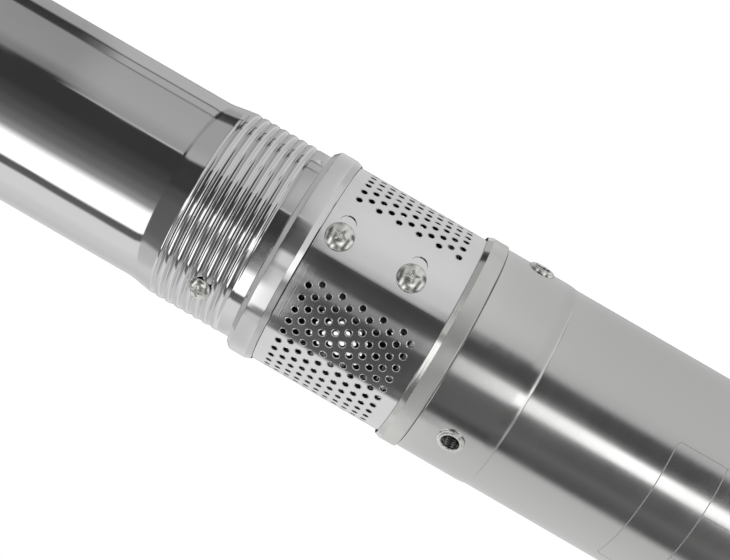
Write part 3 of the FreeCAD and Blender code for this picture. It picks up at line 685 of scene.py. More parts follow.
class PUMP_OT_strainer(bpy.types.Operator):
    """Build the perforated sheet that wraps once round the suction body"""
    bl_idname = "pump.strainer"
    bl_label = "Strainer"

    # Degrees between the holes of a column, and where the even and the odd columns start.
    hole_step = 7.15
    first_holes = (-9.075, -5.5)

    def execute(self, context):
        sizes = context.scene.pump_sizes
        hole, rise = sizes.hole_diameter * 500, sizes.rim_rise * 1000
        rim = hole + 0.31
        middle = (HEAD_TOP + STRAINER_TOP) / 2 + 0.3
        centres = []
        for column in range(11):
            height = middle + (column - 5) * sizes.column_pitch * 1000
            first = self.first_holes[column % 2]
            centres += [((first - self.hole_step * row) * DEGREE, height) for row in range(44)]
        slots = [((STRAINER_SCREW_ANGLE - 360) * DEGREE, h) for h in STRAINER_SCREW_HEIGHTS]
        loops = [sheet_outline(0.0), sheet_outline(0.12)]
        for x, z in slots:
            loops += [slot_outline(x, z, SLOT_RADIUS), slot_outline(x, z, SLOT_RADIUS + 0.12)]
        cut_loops = loops[::2]
        loops += [arc(x, z, rim, 0, 4, HOLE_SIDES)[:-1] for x, z in centres]
        spots, faces, lift = self.flat_sheet(loops, cut_loops, slots)
        middles = np.array([spots[list(face)].mean(axis=0) for face in faces])
        keep = np.ones(len(faces), bool)
        openings = [(x, z, 0.0, rim * 0.985) for x, z in centres]
        openings += [(x, z, SLOT_REACH, SLOT_RADIUS - 0.01) for x, z in slots]
        for x, z, reach, radius in openings:
            across = middles[:, 0] - x
            gap = np.hypot(across - np.clip(across, 0, reach), middles[:, 1] - z)
            keep &= gap > radius
        kept = [face for face, wanted in zip(faces, keep) if wanted]

        shape, inside = Shape(), Shape()
        outward = round_axis(1.0, spots[:, 0] / DEGREE, 0.0)
        shape.add(bend(spots[:, 0], spots[:, 1], lift).tolist(), kept)
        inside.add(bend(spots[:, 0], spots[:, 1], -SHEET_WALL).tolist(),
                   [face[::-1] for face in kept])
        normals, inside_normals = outward.tolist(), (-outward).tolist()
        # Cut edges of the sheet and its slots.
        for index, loop in enumerate(cut_loops):
            x, z = np.array(loop).T
            side = np.roll(np.array(loop), -1, axis=0) - np.roll(np.array(loop), 1, axis=0)
            side /= np.linalg.norm(side, axis=1)[:, None] * (1 if index else -1)
            shape.grid([bend(x, z, -drop).tolist() for drop in (EDGE_DROP, SHEET_WALL)],
                       wrap_columns=True)
            normals += lean(x, -side[:, 1], side[:, 0]).tolist() * 2
        # Each hole: a rim raised by the punch, rolled over into a bright lip, then torn metal.
        profile = [(rim, 0.0), (hole + 0.26, rise * 0.2), (hole + 0.2, rise * 0.75),
                   (hole + 0.14, rise), (hole + 0.07, rise * 0.8), (hole + 0.01, rise * 0.1),
                   (hole - 0.035, -0.07), (hole - 0.06, -0.17), (hole - 0.065, -0.3),
                   (hole - 0.05, -SHEET_WALL), (rim, -SHEET_WALL)]
        lip = 6
        across, upwards, _ = np.array(circle(1.0, 0.0, HOLE_SIDES)).T
        for x, z in centres:
            along = lean(x + across * hole, across, upwards)
            outward = round_axis(1.0, (x + across * hole) / DEGREE, 0.0)
            rows, row_normals = [], []
            for index, (radius, height) in enumerate(profile):
                rows.append(bend(x + across * radius, z + upwards * radius, height).tolist())
                before = profile[max(index - 1, 0)]
                after = profile[min(index + 1, len(profile) - 1)]
                run, fall = after[0] - before[0], after[1] - before[1]
                row_normals += ((along * fall - outward * run) / math.hypot(run, fall)).tolist()
            shape.grid(rows[:lip + 1], wrap_columns=True)
            normals += row_normals[:(lip + 1) * HOLE_SIDES]
            inside.grid(rows[lip:], wrap_columns=True)
            inside_normals += row_normals[lip * HOLE_SIDES:]
        make_piece("strainer_sheet", shape, "bright_annealed_sheet",
                   ["strainer"], normals=normals)
        # Painted shade: the hole walls and the inside of the sheet take a dark grey that stands in
        # for their shade.
        make_piece("strainer_inside", inside, "sheared_stainless_painted_shade",
                   normals=inside_normals)
        return {"FINISHED"}

    def flat_sheet(self, loops, cut_loops, slots):
        """Triangles between the loops, and how far the points on cut edges are pressed in."""
        flat, edges, low = [], [], set()
        for loop in loops:
            base, count = len(flat), len(loop)
            flat += [Vector(point) for point in loop]
            edges += [(base + k, base + (k + 1) % count) for k in range(count)]
            if any(loop is cut for cut in cut_loops):
                low.update(range(base, base + count))
        # Extra points in the plain strips at the start and the flap, clear of the slots.
        strips = (np.arange(SHEET_START - 1.8, -1.9 * DEGREE, -1.8),
                  np.arange(-321.5 * DEGREE, SHEET_STOP + 1.0, -1.8))
        for x in np.concatenate(strips):
            for z in np.arange(HEAD_TOP + 2.2, STRAINER_TOP - 1.5, 3.1):
                if all(abs(z - height) > 3.4 or not -3.5 < x - place < SLOT_REACH + 3.5
                       for place, height in slots):
                    flat.append(Vector((x, z)))
        points, _, faces, origins, _, _ = delaunay_2d_cdt(flat, edges, [], 1, 1e-5)
        spots = np.array([tuple(point) for point in points])
        lift = np.array([-EDGE_DROP * bool(low & set(sources)) for sources in origins])
        return spots, faces, lift


def pan_head(shape, matrix, radius, height, depth, turn):
    """Domed head with a cross recess, and its shank, along local Z."""
    around, across, shank = 96, 44, 2.4
    share, angle = np.meshgrid(np.arange(across + 1) / across,
                               2 * math.pi * np.arange(around) / around, indexing="ij")
    reach, turned = radius * share, angle - math.radians(turn)
    dome = 0.25 + (height - 0.25) * (1 - share ** 2.3) ** 0.72
    # The cross has tapered arms and a round well in its middle.
    wing = reach * np.minimum(abs(np.cos(turned)), abs(np.sin(turned)))
    arms = smooth_step((0.56 - 0.09 * reach - wing) / 0.28) * smooth_step((2.4 - reach) / 0.5)
    well = smooth_step((1.05 - reach) / 0.4)
    fall = depth * np.maximum(arms * (1 - 0.22 * reach), well * 0.95)
    rows = np.stack([reach * np.cos(angle), reach * np.sin(angle), dome - fall], axis=-1).tolist()
    rows += [circle(radius, 0.05, around), circle(shank, 0.02, around),
             circle(shank, -6.2, around)]
    shape.place(shape.grid(rows, wrap_columns=True), matrix)


class PUMP_OT_screws(bpy.types.Operator):
    """Build the pan-head screws of the strainer and the barrel"""
    bl_idname = "pump.screws"
    bl_label = "Pan-head screws"

    def execute(self, context):
        depth = context.scene.pump_sizes.recess_depth * 1000
        flap, barrel = Shape(), Shape()
        for height, turn in zip(STRAINER_SCREW_HEIGHTS, (20, 65)):
            matrix = spoke_matrix(FLAP_RADIUS, STRAINER_SCREW_ANGLE, height)
            pan_head(flap, matrix, 4.75, 2.6, depth, turn)
        for side, height in enumerate(LOCK_SCREW_HEIGHTS):
            for index, angle in enumerate(LOCK_SCREW_ANGLES):
                matrix = spoke_matrix(BARREL_END_RADIUS, angle, height)
                pan_head(barrel, matrix, 4.1, 2.4, depth, 12 + 31 * index + 17 * side)
        make_piece("strainer_pan_screws", flap, "nickel_plated_steel",
                   ["strainer_screws"], sharp=55)
        make_piece("barrel_pan_screws", barrel, "nickel_plated_steel",
                   ["barrel_lock_screws"], sharp=55)
        return {"FINISHED"}


class PUMP_OT_bosses(bpy.types.Operator):
    """Build the three threaded bosses round the motor's upper end"""
    bl_idname = "pump.bosses"
    bl_label = "Threaded bosses"

    def execute(self, context):
        pitch = context.scene.pump_sizes.boss_thread_pitch * 1000
        rim, bore, mouth, depth, count = 4.55, 2.95, 0.62, 0.42, 72
        flange = soften([(rim, -0.3, 0), (rim, 0.55, 0.25), (3.9, 0.6, 0.1), (3.8, 1.0, 0.15),
                         (3.15, 1.0, 0.15), (bore, mouth, 0)], closed=False)

        def thread(height):
            """Radius at an angle; the thread fades in below the mouth."""
            cut = depth * float(smooth_step((mouth - height) / 0.8))
            return lambda angle: bore - cut * 2 * abs(
                (height / pitch - angle / (2 * math.pi)) % 1.0 - 0.5)

        bored = [circle(thread(height), height, count) for height in np.arange(mouth, -7.4, -0.1)]
        bored += [circle(2.5, -7.5, count), circle(0.01, -9.0, count)]
        shape, threads = Shape(), Shape()
        for angle in BOSS_ANGLES:
            matrix = spoke_matrix(SOCKET_RADIUS, angle, BOSS_HEIGHT)
            rows = [circle(radius, height, count) for radius, height in flange]
            shape.place(shape.grid(rows, wrap_columns=True), matrix)
            threads.place(threads.grid(bored, wrap_columns=True), matrix)
        make_piece("boss_rivet_nuts", shape, "nickel_plated_steel",
                   ["threaded_bosses"], sharp=50)
        # Painted shade: the threaded bores take the darker ground steel rather than the nut's
        # nickel plate, so that they read as shaded.
        make_piece("boss_threads", threads, "ground_steel_and_bore_shade", sharp=50)
        return {"FINISHED"}


class PUMP_OT_intake_body(bpy.types.Operator):
    """Build the suction body: foot, three columns, upper ring and the barrel's spigot"""
    bl_idname = "pump.intake_body"
    bl_label = "Suction body"

    def execute(self, context):
        rounding = context.scene.pump_sizes.edge_round * 1000
        shape, collar = Shape(), Shape()
        bore, wall, neck, rim = 26.5, 35.6, 34.4, RING_RADIUS
        foot_top, window_top = HEAD_TOP + 6.0, STRAINER_TOP - 3.5
        shape.lathe([(bore, HEAD_TOP), (wall, HEAD_TOP), (wall, foot_top), (bore, foot_top)], 128)
        for angle in COLUMN_ANGLES:
            shape.lathe([(bore, foot_top), (wall, foot_top), (wall, window_top),
                         (bore, window_top)], 16, angle - 16, 32)
        # The ring is open behind, over 12 mm, where the cable passes.
        half = math.degrees(math.asin(6.0 / rim))
        ring = soften([(neck + 0.05, window_top, 0), (wall, window_top, 0),
                       (wall, STRAINER_TOP, 0), (36.7, STRAINER_TOP + 0.1, 0),
                       (36.85, STRAINER_TOP + 0.4, 0.2), (rim, STRAINER_TOP + 2.3, rounding),
                       (rim, BARREL_BOTTOM - 1.8, 0.3), (rim - 1.75, BARREL_BOTTOM, 0.3),
                       (neck + 0.05, BARREL_BOTTOM, 0.1)])
        collar.lathe(ring, 192, CABLE_ANGLE + half, 360 - 2 * half)
        make_piece("suction_ring", collar, "mirror_polished_stainless")
        shoulder = BARREL_BOTTOM - 0.02
        shape.lathe([(bore, window_top), (neck, window_top), (neck, shoulder),
                     (SPIGOT_RADIUS, shoulder), (SPIGOT_RADIUS, SPIGOT_TOP), (bore, SPIGOT_TOP)],
                    160)
        make_piece("suction_body", shape, "turned_cast_stainless", ["intake_body"])
        return {"FINISHED"}


class PUMP_OT_motor_head(bpy.types.Operator):
    """Build the blasted ring between the motor shell and the strainer, and its turned edge"""
    bl_idname = "pump.motor_head"
    bl_label = "Motor head"

    def execute(self, context):
        rounding = context.scene.pump_sizes.edge_round * 1000
        edge, neck, seat, bore = HEAD_TOP - 2.0, 36.2, 14.05, 9.0
        floor, foot = SHELL_TOP - 4.3, SHELL_TOP - 25.0
        shape, band = Shape(), Shape()
        shape.lathe(soften([
            (seat, floor, 0), (seat, edge, 0), (HEAD_RADIUS, edge, 0),
            (HEAD_RADIUS, SHELL_TOP + 0.15, rounding), (36.6, SHELL_TOP + 0.15, 0),
            (neck, SHELL_TOP - 0.4, 0),
            *((neck, SHELL_TOP - drop, 0) for drop in np.arange(6.0, 20.0)),
            (neck, foot, 0), (bore, foot, 0), (bore, floor, 0)]), 224)
        shape.open_bosses(neck)
        make_piece("motor_head_ring", shape, "blasted_cast_stainless",
                   ["motor_head"])
        # Its upper edge is turned bright after blasting.
        rim = HEAD_RADIUS - 0.02
        band.lathe(soften([(seat, edge, 0), (seat, HEAD_TOP, 0.3), (37.35, HEAD_TOP, 0.15),
                           (rim, edge + 0.05, 0.2), (rim, edge, 0)]), 224)
        make_piece("motor_head_edge", band, "turned_cast_stainless")
        return {"FINISHED"}


class PUMP_OT_motor_shell(bpy.types.Operator):
    """Build the belt-polished motor tube with its opened-out upper end"""
    bl_idname = "pump.motor_shell"
    bl_label = "Motor shell"

    def execute(self, context):
        opening = context.scene.pump_sizes.step_length * 1000
        step = SHELL_TOP - 25.9
        plain, socket = SHELL_RADIUS, SOCKET_RADIUS
        rows = soften([(plain - 1, CAP_TOP, 0), (plain, CAP_TOP, 0.25), (plain, CAP_TOP + 2, 0)],
                      closed=False)
        rows += [(plain, z) for z in np.linspace(CAP_TOP + 6, step, 30)]
        for share in np.linspace(0, 1, 31)[1:] ** 1.8:
            bulge = math.sqrt(1 - (1 - share) ** 2)
            rows.append((plain + (socket - plain) * bulge, step + opening * share))
        rows += [(socket, z) for z in np.arange(step + opening + 1, SHELL_TOP - 1.5)]
        rows += soften([(socket, SHELL_TOP - 1, 0), (socket, SHELL_TOP, 0.35),
                        (socket - 0.9, SHELL_TOP, 0)], closed=False)[1:]
        rows += [(SOCKET_BORE, SHELL_TOP - drop) for drop in np.arange(6.0, 20.0)]
        rows += [(SOCKET_BORE, step), (plain - 1, step - 1.4)]
        shape = Shape()
        shape.lathe(rows, 256)
        shape.open_bosses((SOCKET_BORE + socket) / 2)
        make_piece("motor_tube", shape, "belt_polished_stainless",
                   ["motor_shell"], sharp=40)
        return {"FINISHED"}


class PUMP_OT_data_plate(bpy.types.Operator):
    """Build the blank etched frame of the data plate, with its ruled fields left empty"""
    bl_idname = "pump.data_plate"
    bl_label = "Data plate"

    # Heights of the frame and its rules, and angles of its sides and dividers.
    bottom, top = 96.0, 196.6
    left, right = -66.0, 16.0
    rules = (179.2, 162.0, 145.0, 128.0, 111.0)
    dividers = (-10.0, -38.0)

    def execute(self, context):
        width = context.scene.pump_sizes.line_width * 1000
        shape = Shape()
        radius, corner = SHELL_RADIUS + 0.02, 1.8
        degree = math.radians(1) * radius
        thin, turn = width / degree, corner / degree

        def band(x0, x1, z0, z1):
            """Thin strip that follows the shell; x is an angle."""
            across = max(2, round(abs(x1 - x0) / 2.0))
            shape.grid([[at(r, x0 + (x1 - x0) * k / across, z) for k in range(across + 1)]
                        for r, z in ((radius - 0.03, z0), (radius, z0), (radius, z1),
                                     (radius - 0.03, z1))])

        for z in (self.top - width, self.bottom):
            band(self.left + turn, self.right - turn, z, z + width)
        for x in (self.left, self.right - thin):
            band(x, x + thin, self.bottom + corner, self.top - corner)
        for quarter, x, z in ((0, self.right - turn, self.top - corner),
                              (1, self.left + turn, self.top - corner),
                              (2, self.left + turn, self.bottom + corner),
                              (3, self.right - turn, self.bottom + corner)):
            shape.grid([[at(radius, x + across / degree, z + rise)
                         for across, rise in arc(0.0, 0.0, r, quarter, 1, 8)]
                        for r in (corner - width, corner)])
        for z in self.rules:
            band(self.left + thin, self.right - thin, z - width / 2, z + width / 2)
        for x in self.dividers:
            band(x, x + thin, self.bottom + width, self.rules[0])
        make_piece("plate_lines", shape, "acid_etched_stainless")
        return {"FINISHED"}


class PUMP_OT_bottom_cap(bpy.types.Operator):
    """Build the cap that closes the motor, and its oil filling plug"""
    bl_idname = "pump.bottom_cap"
    bl_label = "Bottom cap"

    def execute(self, context):
        rounding = context.scene.pump_sizes.edge_round * 1000
        shape, plug = Shape(), Shape()
        hole, spigot, well, floor = 6.05, 35.8, 30.0, 7.0
        shape.lathe(soften([
            (hole, 0.0, 0.3), (12.0, 0.0, 0.3), (14.0, 1.4, 0.6), (28.0, 1.4, 0.6),
            (30.0, 0.0, 0.4), (34.85, 0.0, rounding), (SHELL_RADIUS, 2.0, rounding),
            (SHELL_RADIUS, CAP_TOP - 0.25, 0.2), (36.5, CAP_TOP, 0), (spigot, CAP_TOP, 0),
            (spigot, CAP_TOP + 16, 0), (well, CAP_TOP + 16, 0), (well, floor, 0),
            (hole, floor, 0)]), 192)
        make_piece("motor_bottom_cap", shape, "turned_cast_stainless",
                   ["bottom_cap"])
        rows = [circle(radius, height, 96)
                for radius, height in ((5.95, 6.9), (5.95, 1.4), (5.6, 1.05), (3.6, 1.05))]
        # Six-sided key recess, 5 mm across its flats.
        rows += [circle(lambda angle: hexagon(2.5, angle) * scale, height, 96)
                 for scale, height in ((1.06, 1.05), (1.0, 1.25), (1.0, 4.2), (0.02, 4.6))]
        plug.grid(rows, wrap_columns=True)
        make_piece("oil_filling_plug", plug, "nickel_plated_steel",
                   ["oil_plug"])
        return {"FINISHED"}


class PUMP_OT_discharge_head(bpy.types.Operator):
    """Build the discharge head: flange, hexagon, rope lugs and pipe thread"""
    bl_idname = "pump.discharge_head"
    bl_label = "Discharge head"

    def execute(self, context):
        sizes = context.scene.pump_sizes
        rounding = sizes.edge_round * 1000
        pitch = sizes.outlet_thread_pitch * 1000
        shape = Shape()
        ring_top, foot, throat = BARREL_TOP + 9.8, BARREL_TOP - 28.4, 20.0
        shape.lathe(soften([
            (throat, foot, 0), (SPIGOT_RADIUS, foot, 0.3), (SPIGOT_RADIUS, BARREL_TOP, 0),
            (RING_RADIUS, BARREL_TOP, rounding), (RING_RADIUS, ring_top - 1.9, 0.5),
            (36.0, ring_top, 0.4), (throat, ring_top, 0)], closed=False), 192, closed=False)
        # Hexagon, 46 mm across its flats, with its upper corners turned off at 30 degrees.
        rows = []
        for share in (0.0, 0.03, *np.linspace(0.1, 0.86, 8), *np.linspace(0.88, 1.0, 14)):
            height = ring_top + (OUTLET_TOP - ring_top) * share
            cone = 22.4 + (OUTLET_TOP - height) / math.tan(math.radians(30))
            rows.append(circle(lambda angle: min(hexagon(23.0, angle), cone, 26.35), height, 192))
        rows.append(circle(16.8, OUTLET_TOP, 192))
        shape.grid(rows, wrap_columns=True)
        # Pipe thread, cut upwards from a relief groove.
        bore, seat, neck, inner = 16.5, 13.0, BARREL_TOP - 6.4, 26.5
        floor = OUTLET_TOP - 20.0

        def thread(phi, z):
            crest = np.abs((z / pitch - phi / 360) % 1.0 - 0.5) * 2
            fade = smooth_step((OUTLET_TOP - 0.9 - z) / 1.2) * smooth_step((z - floor - 1.5) / 1.5)
            cut = -1.35 * smooth_step(crest * 1.15 - 0.08) * fade
            return np.where(z > floor + 0.05, cut, 0.0)

        shape.lathe([(16.8, OUTLET_TOP), (bore, OUTLET_TOP - 0.6),
                     *((bore, z) for z in np.arange(OUTLET_TOP - 0.75, floor, -0.14)),
                     (bore, floor), (seat, floor), (seat, neck), (inner, neck), (inner, foot),
                     (throat, foot)], 192, closed=False, relief=thread)
        for angle in (90.0, 270.0):
            self.lug(shape, angle, ring_top)
        make_piece("discharge_casting", shape, "turned_cast_stainless",
                   ["discharge_head"], sharp=28)
        return {"FINISHED"}

    def lug(self, shape, angle, ring_top):
        """Upright ear with a round top and a rope eye, its edges rounded."""
        place, eye_height, foot = 30.2, 11.0, 11.2
        half, thick, eye, count = 7.0, 4.5, 4.0, 96

        def ear(turn):
            """Distance from the eye to the outside: round above, square below."""
            aside, below = max(abs(math.cos(turn)), 1e-6), max(-math.sin(turn), 1e-6)
            return half if math.sin(turn) >= 0 else min(half / aside, foot / below)

        rows = []
        for depth, grow in ((-thick, -0.7), (-thick + 0.2, -0.2), (-thick + 0.7, 0.0),
                            (thick - 0.7, 0.0), (thick - 0.2, -0.2), (thick, -0.7)):
            rows.append(circle(lambda turn: ear(turn) + grow, depth, count))
        for depth, grow in ((thick, 0.6), (thick - 0.18, 0.18), (thick - 0.6, 0.0),
                            (-thick + 0.6, 0.0), (-thick + 0.18, 0.18), (-thick, 0.6)):
            rows.append(circle(eye + grow, depth, count))
        out = facing(angle)
        matrix = Matrix((out, UP, out.cross(UP))).transposed().to_4x4()
        matrix.translation = at(place, angle, ring_top + eye_height)
        shape.place(shape.grid(rows, wrap_rows=True, wrap_columns=True), matrix)


class PUMP_OT_inner_parts(bpy.types.Operator):
    """Give every CAD node that stays in view its real finish"""
    bl_idname = "pump.inner_parts"
    bl_label = "Inner parts"

    finishes = {
        "moulded_nitrile_rubber": ("diaphragm", "shaft_seal", "sand_slinger", "cable_gland",
                                   "stator_rubber"),
        "turned_cast_stainless": ("lower_bracket",),
        "ground_steel_and_bore_shade": ("motor_bearings", "motor_shaft", "rotor_pin", "pin_sleeve",
                         "drive_rod", "shaft_coupling", "coupling_pin"),
        "mirror_polished_stainless": ("screw_rotor",),
        "belt_polished_stainless": ("stator_sleeve",),
        "stacked_silicon_steel": ("rotor_core", "stator_core"),
        "enamelled_copper_wire": ("windings",),
        "nickel_plated_steel": ("foot_screws",),
    }

    def execute(self, context):
        for finish, nodes in self.finishes.items():
            for node in nodes:
                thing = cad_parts[node]
                if not thing.data.materials:
                    thing.data.materials.append(None)
                for slot in thing.material_slots:
                    slot.material = finish_of(finish)
                soft = thing.modifiers.new("edge_softening", "BEVEL")
                soft.limit_method = "ANGLE"
                soft.angle_limit = math.radians(50)
                soft.width = mm(0.25)
                soft.segments = 2
                soft.harden_normals = True
        return {"FINISHED"}


# Stage

# Light that metal sees: (degrees, level) stops round the pump, 0 facing -Y. All rings but the
# brow share the dark gap behind the pump, and the two that the barrel mirrors share their left.
REAR_START = [(-180, 0.04), (-172, 0.06), (-167, 0.7)]
REAR_END = [(170, 0.06), (179, 0.04)]
LEFT = [(-140, 0.68), (-120, 0.76), (-100, 0.86), (-84, 0.86), (-80, 0.14), (-72, 0.12),
        (-69, 1.6), (-46, 1.6), (-34, 0.34), (-24, 0.18), (-12, 0.11), (0, 0.07), (14, 0.045)]
RINGS = {
    "front": [(-150, 0.85), (-110, 0.9), (-86, 0.92), (-81, 0.12), (-32, 0.08), (-25, 0.1),
              (-20, 0.26), (-10, 0.3), (-4, 0.08), (15, 0.06), (20, 0.6), (30, 0.74),
              (60, 0.84), (125, 0.76), (164, 0.7)],
    "collar": [(-150, 0.8), (-120, 0.7), (-77, 0.72), (-73, 0.3), (-68, 0.3), (-63, 1.15),
               (-22, 1.0), (-17, 0.7), (-12, 1.0), (-4, 0.95), (2, 0.2), (10, 0.14),
               (25, 0.13), (31, 0.22), (38, 0.6), (60, 0.68), (125, 0.62), (164, 0.7)],
    "upper": LEFT + [(35, 0.045), (36.5, 0.66), (38.5, 0.4), (60, 0.48), (101, 0.46),
                     (103, 0.16), (105, 0.5), (117, 0.5), (119.5, 0.1), (122, 0.56),
                     (150, 0.52), (164, 0.46)],
    "barrel": LEFT + [(38, 0.045), (44, 0.25), (60, 0.37), (102, 0.35), (105, 0.05),
                      (121, 0.04), (126, 0.42), (164, 0.4)],
    "ledge": [(-120, 0.66), (-84, 0.6), (-76, 0.2), (-60, 0.15), (-24, 0.13), (-6, 0.09),
              (2, 0.05), (34, 0.045), (38, 0.5), (60, 0.44), (103, 0.44), (108, 0.1),
              (114, 0.1), (120, 0.46), (164, 0.5)],
    "high": [(-150, 0.5), (-120, 0.45), (-84, 0.2), (-74, 0.2), (-68, 1.4), (-5, 1.4), (0, 0.4),
             (6, 0.36), (9, 0.66), (44, 0.6), (110, 0.5), (164, 0.5)],
    # The ceiling's edge is dark in front of the pump, the floor's edge is dark in two places.
    "brow": [(-180, 0.5), (-100, 0.5), (-84, 0.06), (100, 0.06), (114, 0.5), (179, 0.5)],
    "socket": [(-120, 0.7), (-74, 0.64), (-69, 0.06), (-62, 0.06), (-56, 0.14), (-24, 0.16),
               (-19, 0.9), (-6, 1.0), (-1, 0.2), (6, 0.08), (22, 0.09), (30, 0.62), (48, 0.68),
               (80, 0.64), (164, 0.62)],
    "lower": [(-120, 0.7), (-78, 0.64), (-68, 0.1), (-58, 0.12), (-50, 0.16), (-40, 0.12),
              (-28, 0.13), (-20, 0.26), (-18, 1.5), (-7, 1.7), (-3, 0.2), (4, 0.08),
              (19, 0.09), (27, 0.58), (40, 0.62), (164, 0.58)],
    "underneath": [(-150, 0.5), (-84, 0.58), (-72, 0.34), (-62, 0.46), (-50, 0.5), (-32, 0.34),
                   (-24, 0.9), (-15, 1.4), (2, 1.3), (12, 0.8), (40, 0.78), (110, 0.74),
                   (140, 0.5), (164, 0.5)],
    "skirting": [(-150, 0.6), (-108, 0.5), (-92, 0.1), (-30, 0.07), (44, 0.06), (52, 0.6),
                 (74, 0.6), (82, 0.08), (122, 0.06), (132, 0.5), (164, 0.5)],
}
# The elevations, in degrees, between which each ring takes over from the one before it.
TAKEOVERS = ((3.2, 3.4, "collar"), (4.28, 4.45, "upper"), (13.5, 16, "barrel"),
             (18.5, 20.5, "ledge"), (31, 33, "high"), (46, 49, "brow"), (-3.7, -4.6, "socket"),
             (-7.9, -8.9, "lower"), (-19, -23, "underneath"), (-36, -40, "skirting"))


def light_ring(azimuth, name):
    """Ramp of light round the pump, from the stops of a ring."""
    stops = RINGS[name] if name == "brow" else REAR_START + RINGS[name] + REAR_END
    ramp = add_node(azimuth.id_data, "ShaderNodeValToRGB", links={"Fac": azimuth})
    colours = ramp.color_ramp
    colours.interpolation = "EASE"
    while len(colours.elements) > 1:
        colours.elements.remove(colours.elements[0])
    for index, (degrees, value) in enumerate(stops):
        position = (degrees + 180) / 360
        element = colours.elements[0] if index == 0 else colours.elements.new(position)
        element.position = position
        element.color = (value, value, value, 1.0)
    return ramp.outputs["Color"]


def blend(rise, first, last, colour_below, colour_above):
    """Passes from one colour to another between two elevations, in degrees."""
    share = remap(rise, (math.radians(first), math.radians(last)),
                  interpolation_type="SMOOTHSTEP")
    return add_node(rise.id_data, "ShaderNodeMix", {"data_type": "RGBA"}, {
        "Factor": share, 6: colour_below, 7: colour_above}).outputs[2]


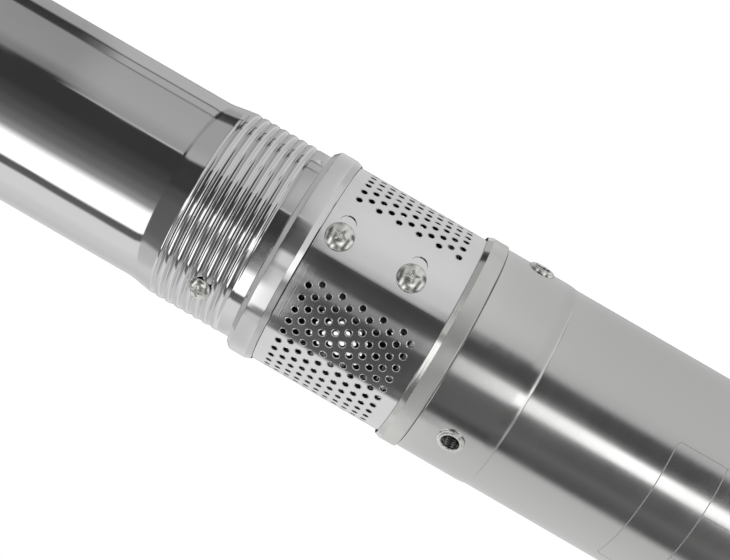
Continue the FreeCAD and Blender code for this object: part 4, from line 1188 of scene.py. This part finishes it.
class PUMP_OT_stage(bpy.types.Operator):
    """Build the pale floor, the studio light and the camera"""
    bl_idname = "pump.stage"
    bl_label = "Stage"

    def execute(self, context):
        self.floor(context)
        self.room(context)
        self.lamps(context)
        self.camera(context)
        context.scene.view_settings.view_transform = "Standard"
        return {"FINISHED"}

    def floor(self, context):
        """Matte floor that fades to white around the pump, as the camera sees it."""
        shape = Shape()
        shape.grid([circle(radius, -0.05, 64)
                    for radius in (5.0, 60.0, 150.0, 300.0, 500.0, 800.0, 1400.0)],
                   wrap_columns=True)
        shape.faces.append(tuple(range(64)))
        mesh = bpy.data.meshes.new("studio_floor")
        mesh.from_pydata((np.array(shape.points) / 1000).tolist(), [], shape.faces)
        material = bpy.data.materials.new("painted_studio_floor")
        material.use_nodes = True
        tree = material.node_tree
        tree.nodes.clear()
        base = (*context.scene.pump_colours.floor, 1.0)
        matte = add_node(tree, "ShaderNodeBsdfDiffuse", {"Color": base})
        white = add_node(tree, "ShaderNodeEmission", {"Color": (1, 1, 1, 1), "Strength": 1.0})
        place = add_node(tree, "ShaderNodeTexCoord").outputs["Object"]
        reach = add_node(tree, "ShaderNodeVectorMath", {"operation": "LENGTH"}, {0: place})
        fade = remap(reach.outputs["Value"], (0.16, 0.42), interpolation_type="SMOOTHSTEP")
        ray = add_node(tree, "ShaderNodeLightPath").outputs["Is Camera Ray"]
        mixed = add_node(tree, "ShaderNodeMixShader", links={
            0: calculate("MULTIPLY", fade, ray), 1: matte.outputs["BSDF"],
            2: white.outputs["Emission"]})
        add_node(tree, "ShaderNodeOutputMaterial", links={"Surface": mixed.outputs["Shader"]})
        mesh.materials.append(material)
        floor = bpy.data.objects.new("studio_floor", mesh)
        context.scene.collection.objects.link(floor)
        floor.visible_glossy = False

    def room(self, context):
        """White to the eye; metal sees soft boxes with dark gaps between them."""
        world = bpy.data.worlds.new("studio_room")
        context.scene.world = world
        world.use_nodes = True
        tree = world.node_tree
        tree.nodes.clear()
        place = add_node(tree, "ShaderNodeTexCoord").outputs["Generated"]
        parts = add_node(tree, "ShaderNodeSeparateXYZ", links={"Vector": place}).outputs
        turn = calculate("ARCTAN2", parts["X"], calculate("MULTIPLY", parts["Y"], -1.0))
        azimuth = remap(turn, (-math.pi, math.pi))
        rise = calculate("ARCSINE", parts["Z"])
        light = light_ring(azimuth, "front")
        for first, last, name in TAKEOVERS:
            light = blend(rise, first, last, light, light_ring(azimuth, name))
        # The plain ceiling and the white floor.
        for first, last, value in ((72, 80, 0.5), (-58, -66, 1.0)):
            tone = add_node(tree, "ShaderNodeRGB").outputs["Color"]
            tone.default_value = (value, value, value, 1.0)
            light = blend(rise, first, last, light, tone)
        studio = add_node(tree, "ShaderNodeBackground", {"Strength": 1.0}, {"Color": light})
        plain = add_node(tree, "ShaderNodeBackground", {"Color": (1, 1, 1, 1), "Strength": 0.8})
        white = add_node(tree, "ShaderNodeBackground", {"Color": (1, 1, 1, 1), "Strength": 1.0})
        ray = add_node(tree, "ShaderNodeLightPath").outputs
        lit = add_node(tree, "ShaderNodeMixShader", links={
            0: ray["Is Glossy Ray"], 1: plain.outputs["Background"],
            2: studio.outputs["Background"]})
        shown = add_node(tree, "ShaderNodeMixShader", links={
            0: ray["Is Camera Ray"], 1: lit.outputs["Shader"], 2: white.outputs["Background"]})
        add_node(tree, "ShaderNodeOutputWorld", links={"Surface": shown.outputs["Shader"]})

    def lamps(self, context):
        """Two soft boxes, aimed at the pump's middle; metal doesn't mirror them."""
        for name, place, size, power in (("key_softbox", (-0.9, -0.8, 1.5), 0.9, 9.0),
                                         ("fill_softbox", (1.1, -0.5, 1.1), 1.0, 4.0)):
            light = bpy.data.lights.new(name, "AREA")
            light.shape = "SQUARE"
            light.size = size
            light.energy = power
            lamp = bpy.data.objects.new(name, light)
            context.scene.collection.objects.link(lamp)
            lamp.location = place
            aim = Vector((0.0, 0.0, 0.3)) - Vector(place)
            lamp.rotation_mode = "QUATERNION"
            lamp.rotation_quaternion = aim.to_track_quat("-Z", "Y")
            lamp.visible_glossy = False

    def camera(self, context):
        """Camera 440 mm in front of the axis, rolled so that the pump runs down to the right."""
        data = bpy.data.cameras.new("photo_camera")
        data.sensor_width = 36.0
        data.lens = 65.125
        camera = bpy.data.objects.new("photo_camera", data)
        context.scene.collection.objects.link(camera)
        camera.location = (mm(0.67), mm(-439.73), mm(301.72))
        # The middle angle is the roll; the others differ from level by less than a degree.
        camera.rotation_euler = [math.radians(turn) for turn in (90.69, 59.903, 0.075)]
        context.scene.camera = camera


class PUMP_PT_panel(bpy.types.Panel):
    bl_label = "Borehole pump"
    bl_idname = "PUMP_PT_panel"
    bl_space_type = "VIEW_3D"
    bl_region_type = "UI"
    bl_category = "Pump"

    def draw(self, context):
        column = self.layout.column()
        for group in (context.scene.pump_sizes, context.scene.pump_colours):
            for field in group.bl_rna.properties:
                if field.identifier not in ("rna_type", "name"):
                    column.prop(group, field.identifier)
        for piece in OPERATORS:
            column.operator(piece.bl_idname)


OPERATORS = (
    PUMP_OT_barrel, PUMP_OT_strainer, PUMP_OT_screws, PUMP_OT_bosses, PUMP_OT_intake_body,
    PUMP_OT_motor_head, PUMP_OT_motor_shell, PUMP_OT_data_plate, PUMP_OT_bottom_cap,
    PUMP_OT_discharge_head, PUMP_OT_inner_parts, PUMP_OT_stage,
)
CLASSES = (PumpSizes, PumpColours, *OPERATORS, PUMP_PT_panel)


def register():
    for entry in CLASSES:
        bpy.utils.register_class(entry)
    bpy.types.Scene.pump_sizes = bpy.props.PointerProperty(type=PumpSizes)
    bpy.types.Scene.pump_colours = bpy.props.PointerProperty(type=PumpColours)


def unregister():
    del bpy.types.Scene.pump_colours
    del bpy.types.Scene.pump_sizes
    for entry in reversed(CLASSES):
        bpy.utils.unregister_class(entry)


def main():
    register()
    bpy.ops.pump.barrel()
    bpy.ops.pump.strainer()
    bpy.ops.pump.screws()
    bpy.ops.pump.bosses()
    bpy.ops.pump.intake_body()
    bpy.ops.pump.motor_head()
    bpy.ops.pump.motor_shell()
    bpy.ops.pump.data_plate()
    bpy.ops.pump.bottom_cap()
    bpy.ops.pump.discharge_head()
    bpy.ops.pump.inner_parts()
    bpy.ops.pump.stage()


if __name__ == "__main__":
    main()
